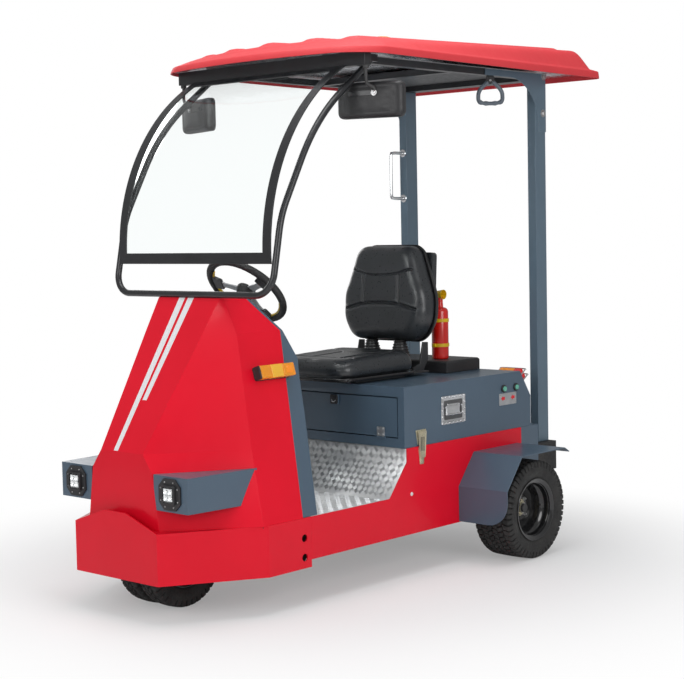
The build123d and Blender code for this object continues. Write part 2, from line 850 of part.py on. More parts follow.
def steer_frame():
    return Pos(0, steer_centre_y, steer_centre_z) * Rot(-steer_tilt, 0, 0)


def steering_column():
    top = -38.6 - running_gap
    sleeve = Pos(0, 0, top - column_length / 2) * Cylinder(column_radius, column_length)
    bore = Pos(0, 0, -60) * Cylinder(steer_stem + running_gap, 62)
    return steer_frame() * (sleeve - bore) - console() - hood_solid()


# Seat box body

def seat_box():
    low = deck_top + box_gap
    outline = [(box_front_y, low), (box_front_y, box_top), (box_slope_y, box_top),
               (box_rear_y, box_slope_z), (box_rear_y, low)]
    w = box_wall
    hollow = [(box_front_y + w, low - 5), (box_front_y + w, box_top - w), (box_slope_y - w, box_top - w),
              (box_rear_y - w, box_slope_z - w), (box_rear_y - w, low - 5)]
    shell = side_prism(outline, -box_half, box_half) - side_prism(hollow, -box_half + w, box_half - w)
    pocket = block(door_right - w, door_left + w, box_front_y + 1, box_front_y + pocket_depth,
                   door_bottom - w, door_top + w)
    inside = block(door_right, door_left, box_front_y - 5, box_front_y + pocket_depth - w,
                   door_bottom, door_top)
    shell = shell + pocket - inside
    for side in (1, -1):
        x0, x1 = side * knuckle_inner[0], side * knuckle_inner[1]
        shell = shell + block(x0, x1, box_rear_y - w, lift_y, lift_z - 3, lift_z + knuckle_radius)
        shell = shell + rod_x(min(x0, x1), max(x0, x1), lift_y, lift_z, knuckle_radius)
    return shell


def box_door():
    g = door_gap
    panel = block(door_right + g, door_left - g, box_front_y, box_front_y + door_sheet, door_bottom + g,
                  door_top - g)
    pieces = [panel]
    for x in (door_left - 97, door_right + 97):
        pieces.append(block(x - 26, x + 26, box_front_y - 3, box_front_y, door_bottom, door_bottom + 24))
        hinge_y = box_front_y - hinge_out
        pieces.append(rod_x(x - 26, x + 26, hinge_y, door_bottom, hinge_out - running_gap))
    lock_x = (door_left + door_right) / 2
    pieces.append(block(lock_x - 22, lock_x + 22, box_front_y - 10, box_front_y,
                        door_top - 50, door_top - 8))
    return fused(pieces)


def seat_cushion():
    # The side outline, higher at the rear, within a plan with rounded corners.
    wedge = side_prism([(seat_front_y, cushion_bottom), (seat_rear_y, cushion_bottom),
                        (seat_rear_y, cushion_bottom + cushion_rear_height),
                        (seat_front_y, cushion_bottom + cushion_front_height)], -seat_half, seat_half)
    plan = RectangleRounded(2 * seat_half, seat_rear_y - seat_front_y, cushion_corner)
    column = Pos(0, (seat_front_y + seat_rear_y) / 2, cushion_bottom) * extrude(plan, amount=200)
    pad = wedge & column
    rims = pad.faces().sort_by(Axis.Z)[0].edges() + pad.faces().sort_by(Axis.Z)[-1].edges()
    return fillet(rims, cushion_round)


def back_frame():
    # The backrest's own frame: x across, y rearwards, z up along its lean.
    return Pos(0, back_front_y, back_bottom) * Rot(-back_lean, 0, 0)


def back_outline(inset, y):
    # Half widths at heights, narrow at the top.
    side = [(190, 0), (258, 110), (258, 205), (165, back_height)]
    right = [(x - inset, min(max(z, inset), back_height - inset)) for x, z in side]
    points = right + [(-x, z) for x, z in reversed(right)]
    face = make_face(Polyline(*[(x, y, z) for x, z in points], close=True))
    return fillet(face.vertices(), back_corner - 0.5 * inset)


def seat_back():
    pad = extrude(back_outline(0, 0), amount=back_depth, dir=(0, 1, 0))
    pad = fillet(pad.faces().sort_by(Axis.Y)[0].edges(), back_round)
    return back_frame() * fillet(pad.faces().sort_by(Axis.Y)[-1].edges(), 10)


pocket_half = 205.0
pocket_low = 130.0
pocket_high = 425.0
pocket_proud = 30.0


def seat_back_shell():
    # The moulded rear cover with a flat document pocket on it.
    y = back_depth + running_gap
    rear = y + back_shell_depth
    cover = loft([back_outline(4, y), back_outline(24, rear)], ruled=True)
    pocket = block(-pocket_half, pocket_half, rear - 8, rear + pocket_proud, pocket_low, pocket_high)
    pocket = fillet(pocket.edges().filter_by(Axis.Y), 14)
    return back_frame() * (cover + pocket)


base_half = seat_half - 12
base_sheet = 15.0
slide_x = 170.0
slide_width = 40.0
arm_x = 204.0
arm_sheet = 10.0
boot_x = 88.0
boot_y = 1692.0
boot_radius = 46.0
boot_neck = 24.0


def seat_base():
    # Slides on the deck, the pan, two tilt plates behind it and the two rubber boots.
    top = cushion_bottom - running_gap
    low = top - base_sheet
    pan = block(-base_half, base_half, seat_front_y + 40, seat_rear_y - 6, low, top)
    slides = both(block(slide_x - slide_width / 2, slide_x + slide_width / 2, box_front_y + 20,
                        seat_rear_y - 40, box_top, low))
    foot = block(-base_half, base_half, seat_rear_y - 6, boot_y + boot_radius, low, low + 8)
    inner = arm_x - arm_sheet
    rear = back_front_y + back_depth
    arm_top = back_bottom - 1
    plate = side_prism([(seat_rear_y - 60, low), (rear - 30, low), (rear + 12, low + 60),
                        (rear + 12, arm_top), (rear - 22, arm_top), (rear - 50, low + 40),
                        (seat_rear_y - 60, low + 6)], inner, arm_x)
    plate = plate - block(inner - 1, arm_x + 1, seat_rear_y - 80, seat_rear_y + 8, top, arm_top)
    boots = []
    for x in (boot_x, -boot_x):
        stand = rod_z(x, boot_y, low + 8, cushion_bottom + 60, boot_neck + 8)
        cone_low = cushion_bottom + 60
        cone_high = back_bottom + 4
        cone = Pos(x, boot_y, (cone_low + cone_high) / 2) * Cone(boot_radius, boot_neck, cone_high - cone_low)
        boots.append(stand + cone)
    whole = fused([pan, foot] + slides + both(plate) + boots)
    clear = back_frame() * block(-300, 300, -100, 300, -running_gap, 40)
    return whole - clear


tray_half = 260.0
tray_front_y = 1830.0
tray_rear_y = 2090.0
tray_top = 902.0


def rear_tray():
    tray = block(-tray_half, tray_half, tray_front_y, tray_rear_y, box_top, tray_top)
    return fillet(tray.edges().group_by(Axis.Z)[-1], 12)


can_x = 146.0
can_y = 1927.0
can_radius = 40.0
can_height = 250.0


def extinguisher():
    # The can with its neck and horn, in a holder of one strip and two straps.
    x, y = can_x, can_y
    top = tray_top + can_height
    can = rod_z(x, y, tray_top, top, can_radius)
    can = fillet(can.edges().group_by(Axis.Z)[-1], 18)
    neck = rod_z(x, y, top, top + 48, 12)
    horn = rod_x(x - 26, x + 24, y, top + 62, 21)
    straps = [rod_z(x, y, z, z + 16, can_radius + 3) for z in (tray_top + 60, tray_top + 180)]
    strip = block(x - can_radius - 3, x - can_radius + 4, y - 13, y + 13, tray_top, tray_top + 205)
    return fused([can, neck, horn, strip] + straps)


def slope_frame():
    # A plane on the box's slanted rear face, its x along the vehicle's X.
    run = box_rear_y - box_slope_y
    drop = box_top - box_slope_z
    middle = ((box_slope_y + box_rear_y) / 2, (box_top + box_slope_z) / 2)
    normal = Vector(0, drop, run).normalized()
    return Plane(origin=(0, middle[0], middle[1]), x_dir=(1, 0, 0), z_dir=normal)


rear_lamp_margin = 84.0
rear_lamp_length = 130.0
rear_lamp_width = 58.0
rear_lamp_height = 44.0
guard_height = 54.0
guard_radius = 3.0


def rear_lamps():
    # A box lamp on the slanted face under two wire hoops.
    place = slope_frame() * Pos(box_half - rear_lamp_margin, 10, 0)
    pieces = [Pos(0, 0, rear_lamp_height / 2) * Box(rear_lamp_length, rear_lamp_width, rear_lamp_height)]
    reach = rear_lamp_length / 2 + 8
    for y in (-16.0, 16.0):
        corners = [(-reach, y, 0), (-reach, y, guard_height), (reach, y, guard_height), (reach, y, 0)]
        pieces.append(bent_rod(corners, [10, 10], guard_radius))
    placed = []
    for piece in pieces:
        placed = placed + both(place * piece)
    return placed


dish_y = 1588.0
dish_z = 712.0
dish_length = 176.0
dish_height = 130.0
dish_sheet = 3.0
bail_radius = 5.0


def cover_handles():
    face = box_half + dish_sheet
    plate = block(box_half, face, dish_y - dish_length / 2, dish_y + dish_length / 2,
                  dish_z - dish_height / 2, dish_z + dish_height / 2)
    bail_x = face + bail_radius - 1
    half = dish_length / 3
    bail = bent_rod([(bail_x, dish_y - half, dish_z + 22), (bail_x, dish_y - half, dish_z - 20),
                     (bail_x, dish_y + half, dish_z - 20), (bail_x, dish_y + half, dish_z + 22)],
                    [12, 12], bail_radius)
    pieces = both(plate + bail)
    # The toggle latch at the front: a plate and a tapered lever.
    latch = block(box_half, face, 1330, 1374, deck_top + 4, 643)
    lever = front_prism([(face, 586), (face + 12, 594), (face + 8, 636), (face, 640)], 1339, 1365)
    pieces = pieces + both(latch + lever)
    # Two push buttons and the sign plate, on the left side only.
    for y in (1975, 2072):
        pieces.append(rod_x(box_half, box_half + 14, y, 770, 15))
    pieces.append(block(box_half, box_half + 2, 1939, 2075, 692, 748))
    return pieces


# Node name to its solids

nodes = {
    "chassis_frame": chassis_frame, "tail_plates": tail_plates, "body_sides": body_sides,
    "floor_pan": floor_pan, "bumper": bumper, "hood_shell": hood_shell, "console": console,
    "lamp_boxes": lamp_boxes, "headlamps": headlamps, "side_lamps": side_lamps,
    "windscreen_frame": windscreen_frame, "windscreen_glass": windscreen_glass,
    "windscreen_tube": windscreen_tube, "roof_frame": roof_frame, "roof_shell": roof_shell,
    "roof_liner": roof_liner, "beacon": beacon, "mirrors": mirrors, "posts": posts,
    "grab_handles": grab_handles, "fenders": fenders, "rear_axle": rear_axle,
    "battery_block": battery_block, "tow_hitch": tow_hitch, "pedals": pedals,
    "steering_column": steering_column, "seat_box": seat_box, "box_door": box_door,
    "seat_cushion": seat_cushion, "seat_back": seat_back, "seat_back_shell": seat_back_shell,
    "seat_base": seat_base, "rear_tray": rear_tray, "extinguisher": extinguisher,
    "rear_lamps": rear_lamps, "cover_handles": cover_handles, "steering_fork": steering_fork,
    "front_tyres": front_tyres, "front_rims": front_rims, "steering_wheel": steering_wheel,
}


def solids_of(made):
    pieces = made if isinstance(made, list) else [made]
    found = []
    for piece in pieces:
        found = found + list(piece.solids())
    return found


def write(name, solids):
    moved = [Pos(0, frame_shift, 0) * solid for solid in solids]
    whole = moved[0] if len(moved) == 1 else Compound(children=moved)
    export_step(whole, "parts/" + name + ".step")


for name, maker in nodes.items():
    write(name, solids_of(maker()))
for side, turn in (("left", 1), ("right", -1)):
    for name, maker in (("rear_tyre_", rear_tyre), ("rear_rim_", rear_rim)):
        made = maker() if turn == 1 else mirror(maker(), about=Plane.YZ)
        write(name + side, solids_of(made))
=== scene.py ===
import json
import math
import bmesh
import bpy
import numpy as np
from mathutils import Matrix, Vector

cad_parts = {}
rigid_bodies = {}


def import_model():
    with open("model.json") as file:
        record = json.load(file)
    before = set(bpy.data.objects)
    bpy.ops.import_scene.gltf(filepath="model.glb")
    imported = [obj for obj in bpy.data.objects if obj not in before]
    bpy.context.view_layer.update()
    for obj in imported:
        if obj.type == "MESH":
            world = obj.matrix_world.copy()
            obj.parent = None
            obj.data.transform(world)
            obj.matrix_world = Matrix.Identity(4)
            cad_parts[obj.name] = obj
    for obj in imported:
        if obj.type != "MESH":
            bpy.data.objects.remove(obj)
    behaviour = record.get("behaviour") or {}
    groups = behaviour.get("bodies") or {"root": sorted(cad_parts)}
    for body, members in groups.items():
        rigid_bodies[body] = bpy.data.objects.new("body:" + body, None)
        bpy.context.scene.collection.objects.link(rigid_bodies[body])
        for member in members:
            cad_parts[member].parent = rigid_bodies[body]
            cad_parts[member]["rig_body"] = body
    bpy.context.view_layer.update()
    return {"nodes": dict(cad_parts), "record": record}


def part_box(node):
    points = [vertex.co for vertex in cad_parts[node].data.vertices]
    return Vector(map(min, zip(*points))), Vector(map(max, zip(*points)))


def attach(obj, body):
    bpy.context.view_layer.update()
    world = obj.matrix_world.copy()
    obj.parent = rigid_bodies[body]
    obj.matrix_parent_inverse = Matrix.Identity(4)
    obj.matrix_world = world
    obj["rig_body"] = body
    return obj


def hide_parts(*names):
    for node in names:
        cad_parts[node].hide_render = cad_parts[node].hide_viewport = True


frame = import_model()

scene = bpy.context.scene
scene.view_settings.view_transform = "Standard"
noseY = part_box("bumper")[0].y
print("frame loaded, nose at", round(noseY, 3))


def at(x, y, z):
    # metres; y is measured back from the bumper's front face
    return np.array([x, y + noseY, z])


def addObject(name, data):
    made = bpy.data.objects.new(name, data)
    scene.collection.objects.link(made)
    return made


# camera, as the photograph was taken
cameraSet = dict(azimuth=42.24, pitch=4.166, roll=-1.181, focalPixels=1530.2, imageWidth=684.0,
                 place=(4.765, -3.869, 1.544))


def makeCamera(c):
    a, e, r = (math.radians(c[k]) for k in ("azimuth", "pitch", "roll"))
    back = Vector((math.sin(a) * math.cos(e), -math.cos(a) * math.cos(e), math.sin(e)))
    right = Vector((math.cos(a), math.sin(a), 0.0))
    up = back.cross(right)
    across = right * math.cos(r) + up * math.sin(r)
    above = up * math.cos(r) - right * math.sin(r)
    data = bpy.data.cameras.new("camera")
    data.sensor_width = 36.0
    data.lens = c["focalPixels"] / c["imageWidth"] * data.sensor_width
    camera = addObject("camera", data)
    turn = Matrix((across, above, back)).transposed().to_4x4()
    camera.matrix_world = Matrix.Translation(Vector(at(*c["place"]))) @ turn
    scene.camera = camera


makeCamera(cameraSet)


# shader nodes

def setInputs(tree, node, inputs):
    # an input takes a plain value or another node's output
    for label, value in inputs.items():
        if isinstance(value, bpy.types.NodeSocket):
            tree.links.new(value, node.inputs[label])
        else:
            node.inputs[label].default_value = value


def addNode(tree, kind, inputs, **settings):
    node = tree.nodes.new("ShaderNode" + kind)
    for name, value in settings.items():
        setattr(node, name, value)
    setInputs(tree, node, inputs)
    return node


def arith(tree, kind, *values, **settings):
    node = addNode(tree, "Math", dict(enumerate(values)), operation=kind, **settings)
    return node.outputs["Value"]


def noise(tree, places, scale, detail):
    return addNode(tree, "TexNoise", {"Vector": places, "Scale": scale, "Detail": detail}).outputs["Fac"]


def mapRange(tree, value, low, high, toLow=0.0, toHigh=1.0, **settings):
    inputs = {"Value": value, "From Min": low, "From Max": high, "To Min": toLow, "To Max": toHigh}
    return addNode(tree, "MapRange", inputs, **settings).outputs["Result"]


def mixColour(tree, factor, a, b):
    return addNode(tree, "Mix", {"Factor": factor, "A": a, "B": b}, data_type="RGBA").outputs["Result"]


def mixShader(tree, share, first, second):
    return addNode(tree, "MixShader", {"Fac": share, 1: first, 2: second}).outputs["Shader"]


def seenDirectly(tree):
    # 1 for what the camera sees, straight or through glass
    rays = addNode(tree, "LightPath", {})
    return arith(tree, "MAXIMUM", rays.outputs["Is Camera Ray"], rays.outputs["Is Transmission Ray"])


def newGroup(name, inputs, outputs):
    group = bpy.data.node_groups.new(name, "ShaderNodeTree")
    group.interface.new_socket("Vector", in_out="INPUT", socket_type="NodeSocketVector")
    for label, value in inputs.items():
        kind = "Color" if isinstance(value, tuple) else "Float"
        group.interface.new_socket(label, in_out="INPUT", socket_type="NodeSocket" + kind).default_value = value
    for label, kind in outputs.items():
        group.interface.new_socket(label, in_out="OUTPUT", socket_type="NodeSocket" + kind)
    return group, group.nodes.new("NodeGroupInput").outputs, group.nodes.new("NodeGroupOutput")


def driftGroup():
    # broad noise moves colour and roughness a little, fine noise breaks the roughness up
    group, given, out = newGroup("finishDrift", {"Scale": 6.0, "Base": (1, 1, 1, 1), "Second": (1, 1, 1, 1),
                                                 "Rough Low": 0.2, "Rough High": 0.4},
                                 {"Color": "Color", "Roughness": "Float"})
    spread = mapRange(group, noise(group, given["Vector"], given["Scale"], 5.0), 0.35, 0.68)
    fine = noise(group, given["Vector"], arith(group, "MULTIPLY", given["Scale"], 9.0), 6.0)
    setInputs(group, out, {"Color": mixColour(group, spread, given["Base"], given["Second"]),
                           "Roughness": mapRange(group, fine, 0.3, 0.7, given["Rough Low"], given["Rough High"])})
    return group


def grainGroup():
    # pebbled grain: cell edges of a fine voronoi, softened by noise, as a height
    group, given, out = newGroup("pebbleGrain", {"Scale": 400.0}, {"Height": "Float"})
    cells = addNode(group, "TexVoronoi", {"Vector": given["Vector"], "Scale": given["Scale"]},
                    feature="DISTANCE_TO_EDGE")
    pebble = mapRange(group, cells.outputs["Distance"], 0.0, 0.25)
    soft = noise(group, given["Vector"], given["Scale"], 4.0)
    setInputs(group, out, {"Height": arith(group, "ADD", pebble, soft)})
    return group


def waveGroup():
    # orange peel of sprayed paint, or the soft wander of a rolled sheet: one noise as a height
    group, given, out = newGroup("paintPeel", {"Scale": 260.0, "Detail": 2.0}, {"Height": "Float"})
    setInputs(group, out, {"Height": noise(group, given["Vector"], given["Scale"], given["Detail"])})
    return group


def wearGroup():
    # edges and corners rub brighter: the mesh's own pointiness, broken by noise, as a mask
    group, given, out = newGroup("rubbedEdge", {"Start": 0.56, "Amount": 0.5}, {"Mask": "Float"})
    shape = addNode(group, "NewGeometry", {})
    edge = mapRange(group, shape.outputs["Pointiness"], given["Start"], 0.72)
    broken = arith(group, "MULTIPLY", edge, noise(group, given["Vector"], 40.0, 6.0))
    setInputs(group, out, {"Mask": arith(group, "MULTIPLY", broken, given["Amount"], use_clamp=True)})
    return group


drift, grain, peel, rubbed = driftGroup(), grainGroup(), waveGroup(), wearGroup()

# every finish: colours are linear, scales are per metre, a bump is (kind, scale, height in millimetres)
finishes = {
    "redPaint": dict(base=(0.76, 0.004, 0.022), second=(0.71, 0.003, 0.019), rough=(0.30, 0.38), coat=0.10,
                     bump=("peel", 200, 0.003), wear=(0.9, 0.25, 0.2), driftScale=2.5, specular=0.20),
    "slatePaint": dict(base=(0.074, 0.116, 0.164), second=(0.068, 0.108, 0.153), rough=(0.30, 0.38), coat=0.10,
                       bump=("peel", 200, 0.003), wear=(0.25, 0.28, 0.3), driftScale=3.0),
    "paleSlate": dict(base=(0.110, 0.165, 0.215), second=(0.101, 0.152, 0.199), rough=(0.30, 0.38), coat=0.10,
                      bump=("peel", 200, 0.003), wear=(0.3, 0.33, 0.35), driftScale=3.0),
    "roofRed": dict(base=(0.66, 0.045, 0.055), second=(0.60, 0.040, 0.050), rough=(0.46, 0.58), specular=0.30,
                    bump=("peel", 160, 0.004), driftScale=2.0),
    "blackPaint": dict(base=(0.016, 0.017, 0.019), second=(0.024, 0.025, 0.028), rough=(0.28, 0.40), coat=0.2,
                       bump=("peel", 380, 0.010), wear=(0.12, 0.12, 0.12), driftScale=5.0),
    "underPaint": dict(base=(0.012, 0.012, 0.013), second=(0.030, 0.027, 0.024), rough=(0.45, 0.70),
                       bump=("peel", 300, 0.020), wear=(0.10, 0.09, 0.08), driftScale=7.0),
    "rimPaint": dict(base=(0.010, 0.010, 0.011), second=(0.016, 0.016, 0.017), rough=(0.12, 0.22), coat=0.6,
                     bump=("peel", 420, 0.006), wear=(0.10, 0.10, 0.10), driftScale=8.0),
    "blackPlastic": dict(base=(0.016, 0.016, 0.018), second=(0.026, 0.026, 0.028), rough=(0.38, 0.52),
                         bump=("grain", 900, 0.030), driftScale=9.0),
    "glossBlack": dict(base=(0.010, 0.010, 0.011), second=(0.014, 0.014, 0.015), rough=(0.12, 0.20),
                       bump=("peel", 300, 0.004), driftScale=9.0),
    "softRubber": dict(base=(0.010, 0.010, 0.011), second=(0.022, 0.021, 0.021), rough=(0.50, 0.68),
                       bump=("grain", 1300, 0.020), driftScale=12.0),
    "vinyl": dict(base=(0.020, 0.023, 0.026), second=(0.026, 0.029, 0.033), rough=(0.26, 0.36), coat=0.10,
                  bump=("grain", 620, 0.030), driftScale=10.0, specular=0.60),
    "tyreRubber": dict(base=(0.012, 0.012, 0.012), second=(0.030, 0.029, 0.028), rough=(0.55, 0.78),
                       bump=("grain", 1100, 0.045), driftScale=14.0),
    "chrome": dict(base=(0.80, 0.81, 0.82), second=(0.70, 0.71, 0.73), rough=(0.06, 0.14), metal=1.0,
                   bump=("peel", 500, 0.004), driftScale=20.0),
    "zinc": dict(base=(0.62, 0.56, 0.38), second=(0.50, 0.46, 0.34), rough=(0.24, 0.38), metal=0.6,
                 bump=("peel", 800, 0.012), driftScale=30.0),
    "steel": dict(base=(0.50, 0.50, 0.50), second=(0.36, 0.36, 0.37), rough=(0.25, 0.42), metal=1.0,
                  bump=("peel", 700, 0.012), driftScale=24.0),
    "greySpoke": dict(base=(0.42, 0.43, 0.44), second=(0.36, 0.37, 0.38), rough=(0.30, 0.42),
                      bump=("grain", 1200, 0.015), driftScale=12.0),
    "yellowPlastic": dict(base=(0.78, 0.52, 0.010), second=(0.68, 0.44, 0.008), rough=(0.26, 0.38),
                          bump=("peel", 500, 0.010), driftScale=14.0),
    "bottleRed": dict(base=(0.72, 0.014, 0.008), second=(0.62, 0.010, 0.006), rough=(0.16, 0.26), coat=0.5,
                      bump=("peel", 500, 0.006), driftScale=10.0),
    "whitePaint": dict(base=(0.80, 0.80, 0.80), second=(0.74, 0.74, 0.75), rough=(0.26, 0.36),
                       bump=("peel", 420, 0.008), driftScale=10.0),
    "signRed": dict(base=(0.70, 0.010, 0.020), second=(0.62, 0.010, 0.018), rough=(0.30, 0.40),
                    bump=("peel", 600, 0.004), driftScale=20.0),
    "satinPlate": dict(base=(0.60, 0.61, 0.62), second=(0.50, 0.51, 0.53), rough=(0.28, 0.44), metal=0.9,
                       bump=("peel", 900, 0.006), driftScale=30.0),
    "greenButton": dict(base=(0.14, 0.46, 0.34), second=(0.11, 0.38, 0.28), rough=(0.18, 0.28), coat=0.4,
                        bump=("peel", 700, 0.006), driftScale=40.0),
    "caseGrey": dict(base=(0.085, 0.088, 0.092), second=(0.060, 0.062, 0.066), rough=(0.42, 0.58),
                     bump=("grain", 700, 0.030), driftScale=6.0),
    "treadPlate": dict(base=(0.60, 0.61, 0.61), second=(0.52, 0.53, 0.54), rough=(0.30, 0.46), metal=0.35,
                       bump=("peel", 500, 0.020), driftScale=12.0),
    "reflector": dict(base=(0.90, 0.91, 0.92), second=(0.84, 0.85, 0.86), rough=(0.08, 0.16), metal=0.9,
                      bump=("peel", 300, 0.006), driftScale=20.0),
    "strapGrey": dict(base=(0.12, 0.15, 0.18), second=(0.09, 0.11, 0.14), rough=(0.38, 0.50),
                      bump=("grain", 900, 0.020), driftScale=14.0),
    "castGrey": dict(base=(0.09, 0.09, 0.09), second=(0.05, 0.05, 0.052), rough=(0.50, 0.70), metal=0.4,
                     bump=("grain", 500, 0.060), driftScale=9.0),
}
materials = {}


def startMaterial(name):
    materials[name] = bpy.data.materials.new(name)
    materials[name].use_nodes = True
    tree = materials[name].node_tree
    return tree, tree.nodes["Principled BSDF"], addNode(tree, "TexCoord", {}).outputs["Object"]


def addDrift(tree, shader, places, scale, base, second, rough):
    shade = addNode(tree, "Group", {"Vector": places, "Scale": scale, "Base": (*base, 1), "Second": (*second, 1),
                                    "Rough Low": rough[0], "Rough High": rough[1]}, node_tree=drift)
    setInputs(tree, shader, {"Base Color": shade.outputs["Color"], "Roughness": shade.outputs["Roughness"]})
    return shade.outputs["Color"]


def addBump(tree, shader, places, bump):
    kind, scale, depth = bump
    node = addNode(tree, "Group", {"Vector": places, "Scale": scale}, node_tree=grain if kind == "grain" else peel)
    relief = addNode(tree, "Bump", {"Distance": depth / 1000.0, "Strength": 1.0, "Height": node.outputs["Height"]})
    setInputs(tree, shader, {"Normal": relief.outputs["Normal"]})


def makeFinish(name, f):
    tree, shader, places = startMaterial(name)
    colour = addDrift(tree, shader, places, f["driftScale"], f["base"], f["second"], f["rough"])
    if "wear" in f:
        mask = addNode(tree, "Group", {"Vector": places, "Start": 0.57, "Amount": 0.35}, node_tree=rubbed)
        colour = mixColour(tree, mask.outputs["Mask"], colour, (*f["wear"], 1))
    setInputs(tree, shader, {"Base Color": colour, "Metallic": f.get("metal", 0.0), "Coat Weight": f.get("coat", 0.0),
                             "Coat Roughness": 0.12, "Specular IOR Level": f.get("specular", 0.5)})
    addBump(tree, shader, places, f["bump"])
    return tree, shader, places, colour


for finishName, finish in finishes.items():
    makeFinish(finishName, finish)


# finishes made with their own nodes

def stripedRed():
    # the two white bands on the nose's middle panel, between straight lines x = a + b z
    tree, shader, places, colour = makeFinish("hoodRed", finishes["redPaint"])
    split = addNode(tree, "SeparateXYZ", {"Vector": places}).outputs
    insides = []
    for band in stripes["bands"]:
        left, right = (arith(tree, "MULTIPLY_ADD", split["Z"], band[side][1], band[side][0])
                       for side in ("left", "right"))
        inside = arith(tree, "MULTIPLY", arith(tree, "GREATER_THAN", split["X"], left),
                       arith(tree, "LESS_THAN", split["X"], right))
        insides.append(arith(tree, "MULTIPLY", inside, arith(tree, "GREATER_THAN", split["Z"], band["end"])))
    setInputs(tree, shader, {"Base Color": mixColour(tree, arith(tree, "ADD", *insides), colour,
                                                     (*stripes["colour"], 1))})


stripes = dict(colour=(0.80, 0.81, 0.83), bands=[
    dict(left=(-0.0416, -0.0135), right=(-0.0282, 0.0047), end=0.667),
    dict(left=(-0.0250, 0.0162), right=(-0.0215, 0.0419), end=0.862)])


def clearShader(name, base, roughness, weight, ior=1.45, shift=0.96):
    # clear stuff that lets the lamps through without a hard shadow
    tree, shader, places = startMaterial(name)
    addDrift(tree, shader, places, 18.0, base, [c * shift for c in base], (roughness * 0.6, roughness * 1.4))
    setInputs(tree, shader, {"Transmission Weight": weight, "IOR": ior})
    through = addNode(tree, "BsdfTransparent", {"Color": (*[0.5 + 0.45 * c for c in base], 1)})
    rays = addNode(tree, "LightPath", {})
    mixed = mixShader(tree, rays.outputs["Is Shadow Ray"], shader.outputs["BSDF"], through.outputs["BSDF"])
    setInputs(tree, tree.nodes["Material Output"], {"Surface": mixed})
    return tree, shader, places


def makeLenses():
    # moulded prisms in the coloured lenses, and a faint painted glow in each lens's own colour
    for name, base, glow in (("amberLens", (0.95, 0.34, 0.012), (1.0, 0.36, 0.02)),
                             ("yellowLens", (1.0, 0.55, 0.040), (1.0, 0.55, 0.05)),
                             ("redLens", (0.70, 0.010, 0.012), (0.9, 0.02, 0.02))):
        tree, shader, places = clearShader(name, base, 0.12, 0.25)
        cells = addNode(tree, "TexVoronoi", {"Vector": places, "Scale": 240.0})
        relief = addNode(tree, "Bump", {"Distance": 0.0008, "Height": cells.outputs["Distance"]})
        # faint emission in the lens colour: painted glow, the lamps are not lit
        setInputs(tree, shader, {"Coat Weight": 0.7, "Emission Color": (*glow, 1), "Emission Strength": 0.10,
                                 "Normal": relief.outputs["Normal"]})


def makeClear():
    clearShader("screenGlass", (0.965, 0.995, 0.990), 0.002, 1.0, 1.2, 0.998)
    clearShader("lampGlass", (0.97, 0.98, 0.98), 0.01, 1.0, 1.3, 0.99)
    makeLenses()
    # headlamp cells: a dotted pattern, and a faint white emission that is painted glow, the headlamps are not lit
    tree, shader, places = startMaterial("ledCell")
    dots = addNode(tree, "TexVoronoi", {"Vector": places, "Scale": 160.0})
    ramp = mapRange(tree, dots.outputs["Distance"], 0.0, 0.5, 1.0, 0.45)
    setInputs(tree, shader, {"Base Color": mixColour(tree, ramp, (0.50, 0.50, 0.50, 1), (0.86, 0.86, 0.84, 1)),
                             "Metallic": 0.4, "Roughness": 0.25, "Emission Color": (1, 1, 0.96, 1),
                             "Emission Strength": 0.12})
    tree, shader, places = startMaterial("mirrorGlass")
    addDrift(tree, shader, places, 12.0, (0.90, 0.91, 0.92), (0.86, 0.87, 0.88), (0.01, 0.04))
    setInputs(tree, shader, {"Metallic": 1.0})
    tree, shader, places = startMaterial("foil")
    addDrift(tree, shader, places, 30.0, (0.74, 0.76, 0.79), (0.55, 0.57, 0.61), (0.12, 0.30))
    setInputs(tree, shader, {"Metallic": 0.95})
    addBump(tree, shader, places, ("peel", 45, 2.5))


stripedRed()
makeClear()
print("materials:", len(materials))


# shapes, each worked out as whole arrays

def gridFaces(rows, cols, closedRows=False, closedCols=False):
    # quads between neighbouring points of a rows by cols grid
    r = np.arange(rows if closedRows else rows - 1)[:, None]
    c = np.arange(cols if closedCols else cols - 1)[None, :]
    r2, c2 = (r + 1) % rows, (c + 1) % cols
    quads = np.stack([r * cols + c, r2 * cols + c, r2 * cols + c2, r * cols + c2], -1)
    return quads.reshape(-1, 4).tolist()


def gather(shapes):
    # several (points, faces) as one
    points, faces, start = [], [], 0
    for p, f in shapes:
        p = np.asarray(p, float).reshape(-1, 3)
        points.append(p)
        faces += [[i + start for i in face] for face in f]
        start += len(p)
    return np.concatenate(points), faces


def boxRound(size, radius, centre=(0, 0, 0), steps=3):
    # each of a cube's six faces is a grid; a point is pulled to the inner box and pushed out by the radius
    half = np.asarray(size, float) / 2
    radius = min(radius, half.min() * 0.999)
    inner = half - radius
    shapes = []
    for axis in range(3):
        for sign in (-1, 1):
            u, v = (axis + 1) % 3, (axis + 2) % 3
            a = np.concatenate([-inner[u] - radius * (1 - np.linspace(0, 1, steps + 1)),
                                inner[u] + radius * np.linspace(0, 1, steps + 1)])
            b = np.concatenate([-inner[v] - radius * (1 - np.linspace(0, 1, steps + 1)),
                                inner[v] + radius * np.linspace(0, 1, steps + 1)])
            p = np.zeros((len(a), len(b), 3))
            p[..., u], p[..., v], p[..., axis] = a[:, None], b[None, :], sign * half[axis]
            core = np.clip(p, -inner, inner)
            away = p - core
            length = np.linalg.norm(away, axis=-1, keepdims=True)
            p = core + away / np.maximum(length, 1e-9) * radius
            if sign < 0:
                p = p[::-1]
            shapes.append((p, gridFaces(len(a), len(b))))
    points, faces = gather(shapes)
    return points + np.asarray(centre, float), faces


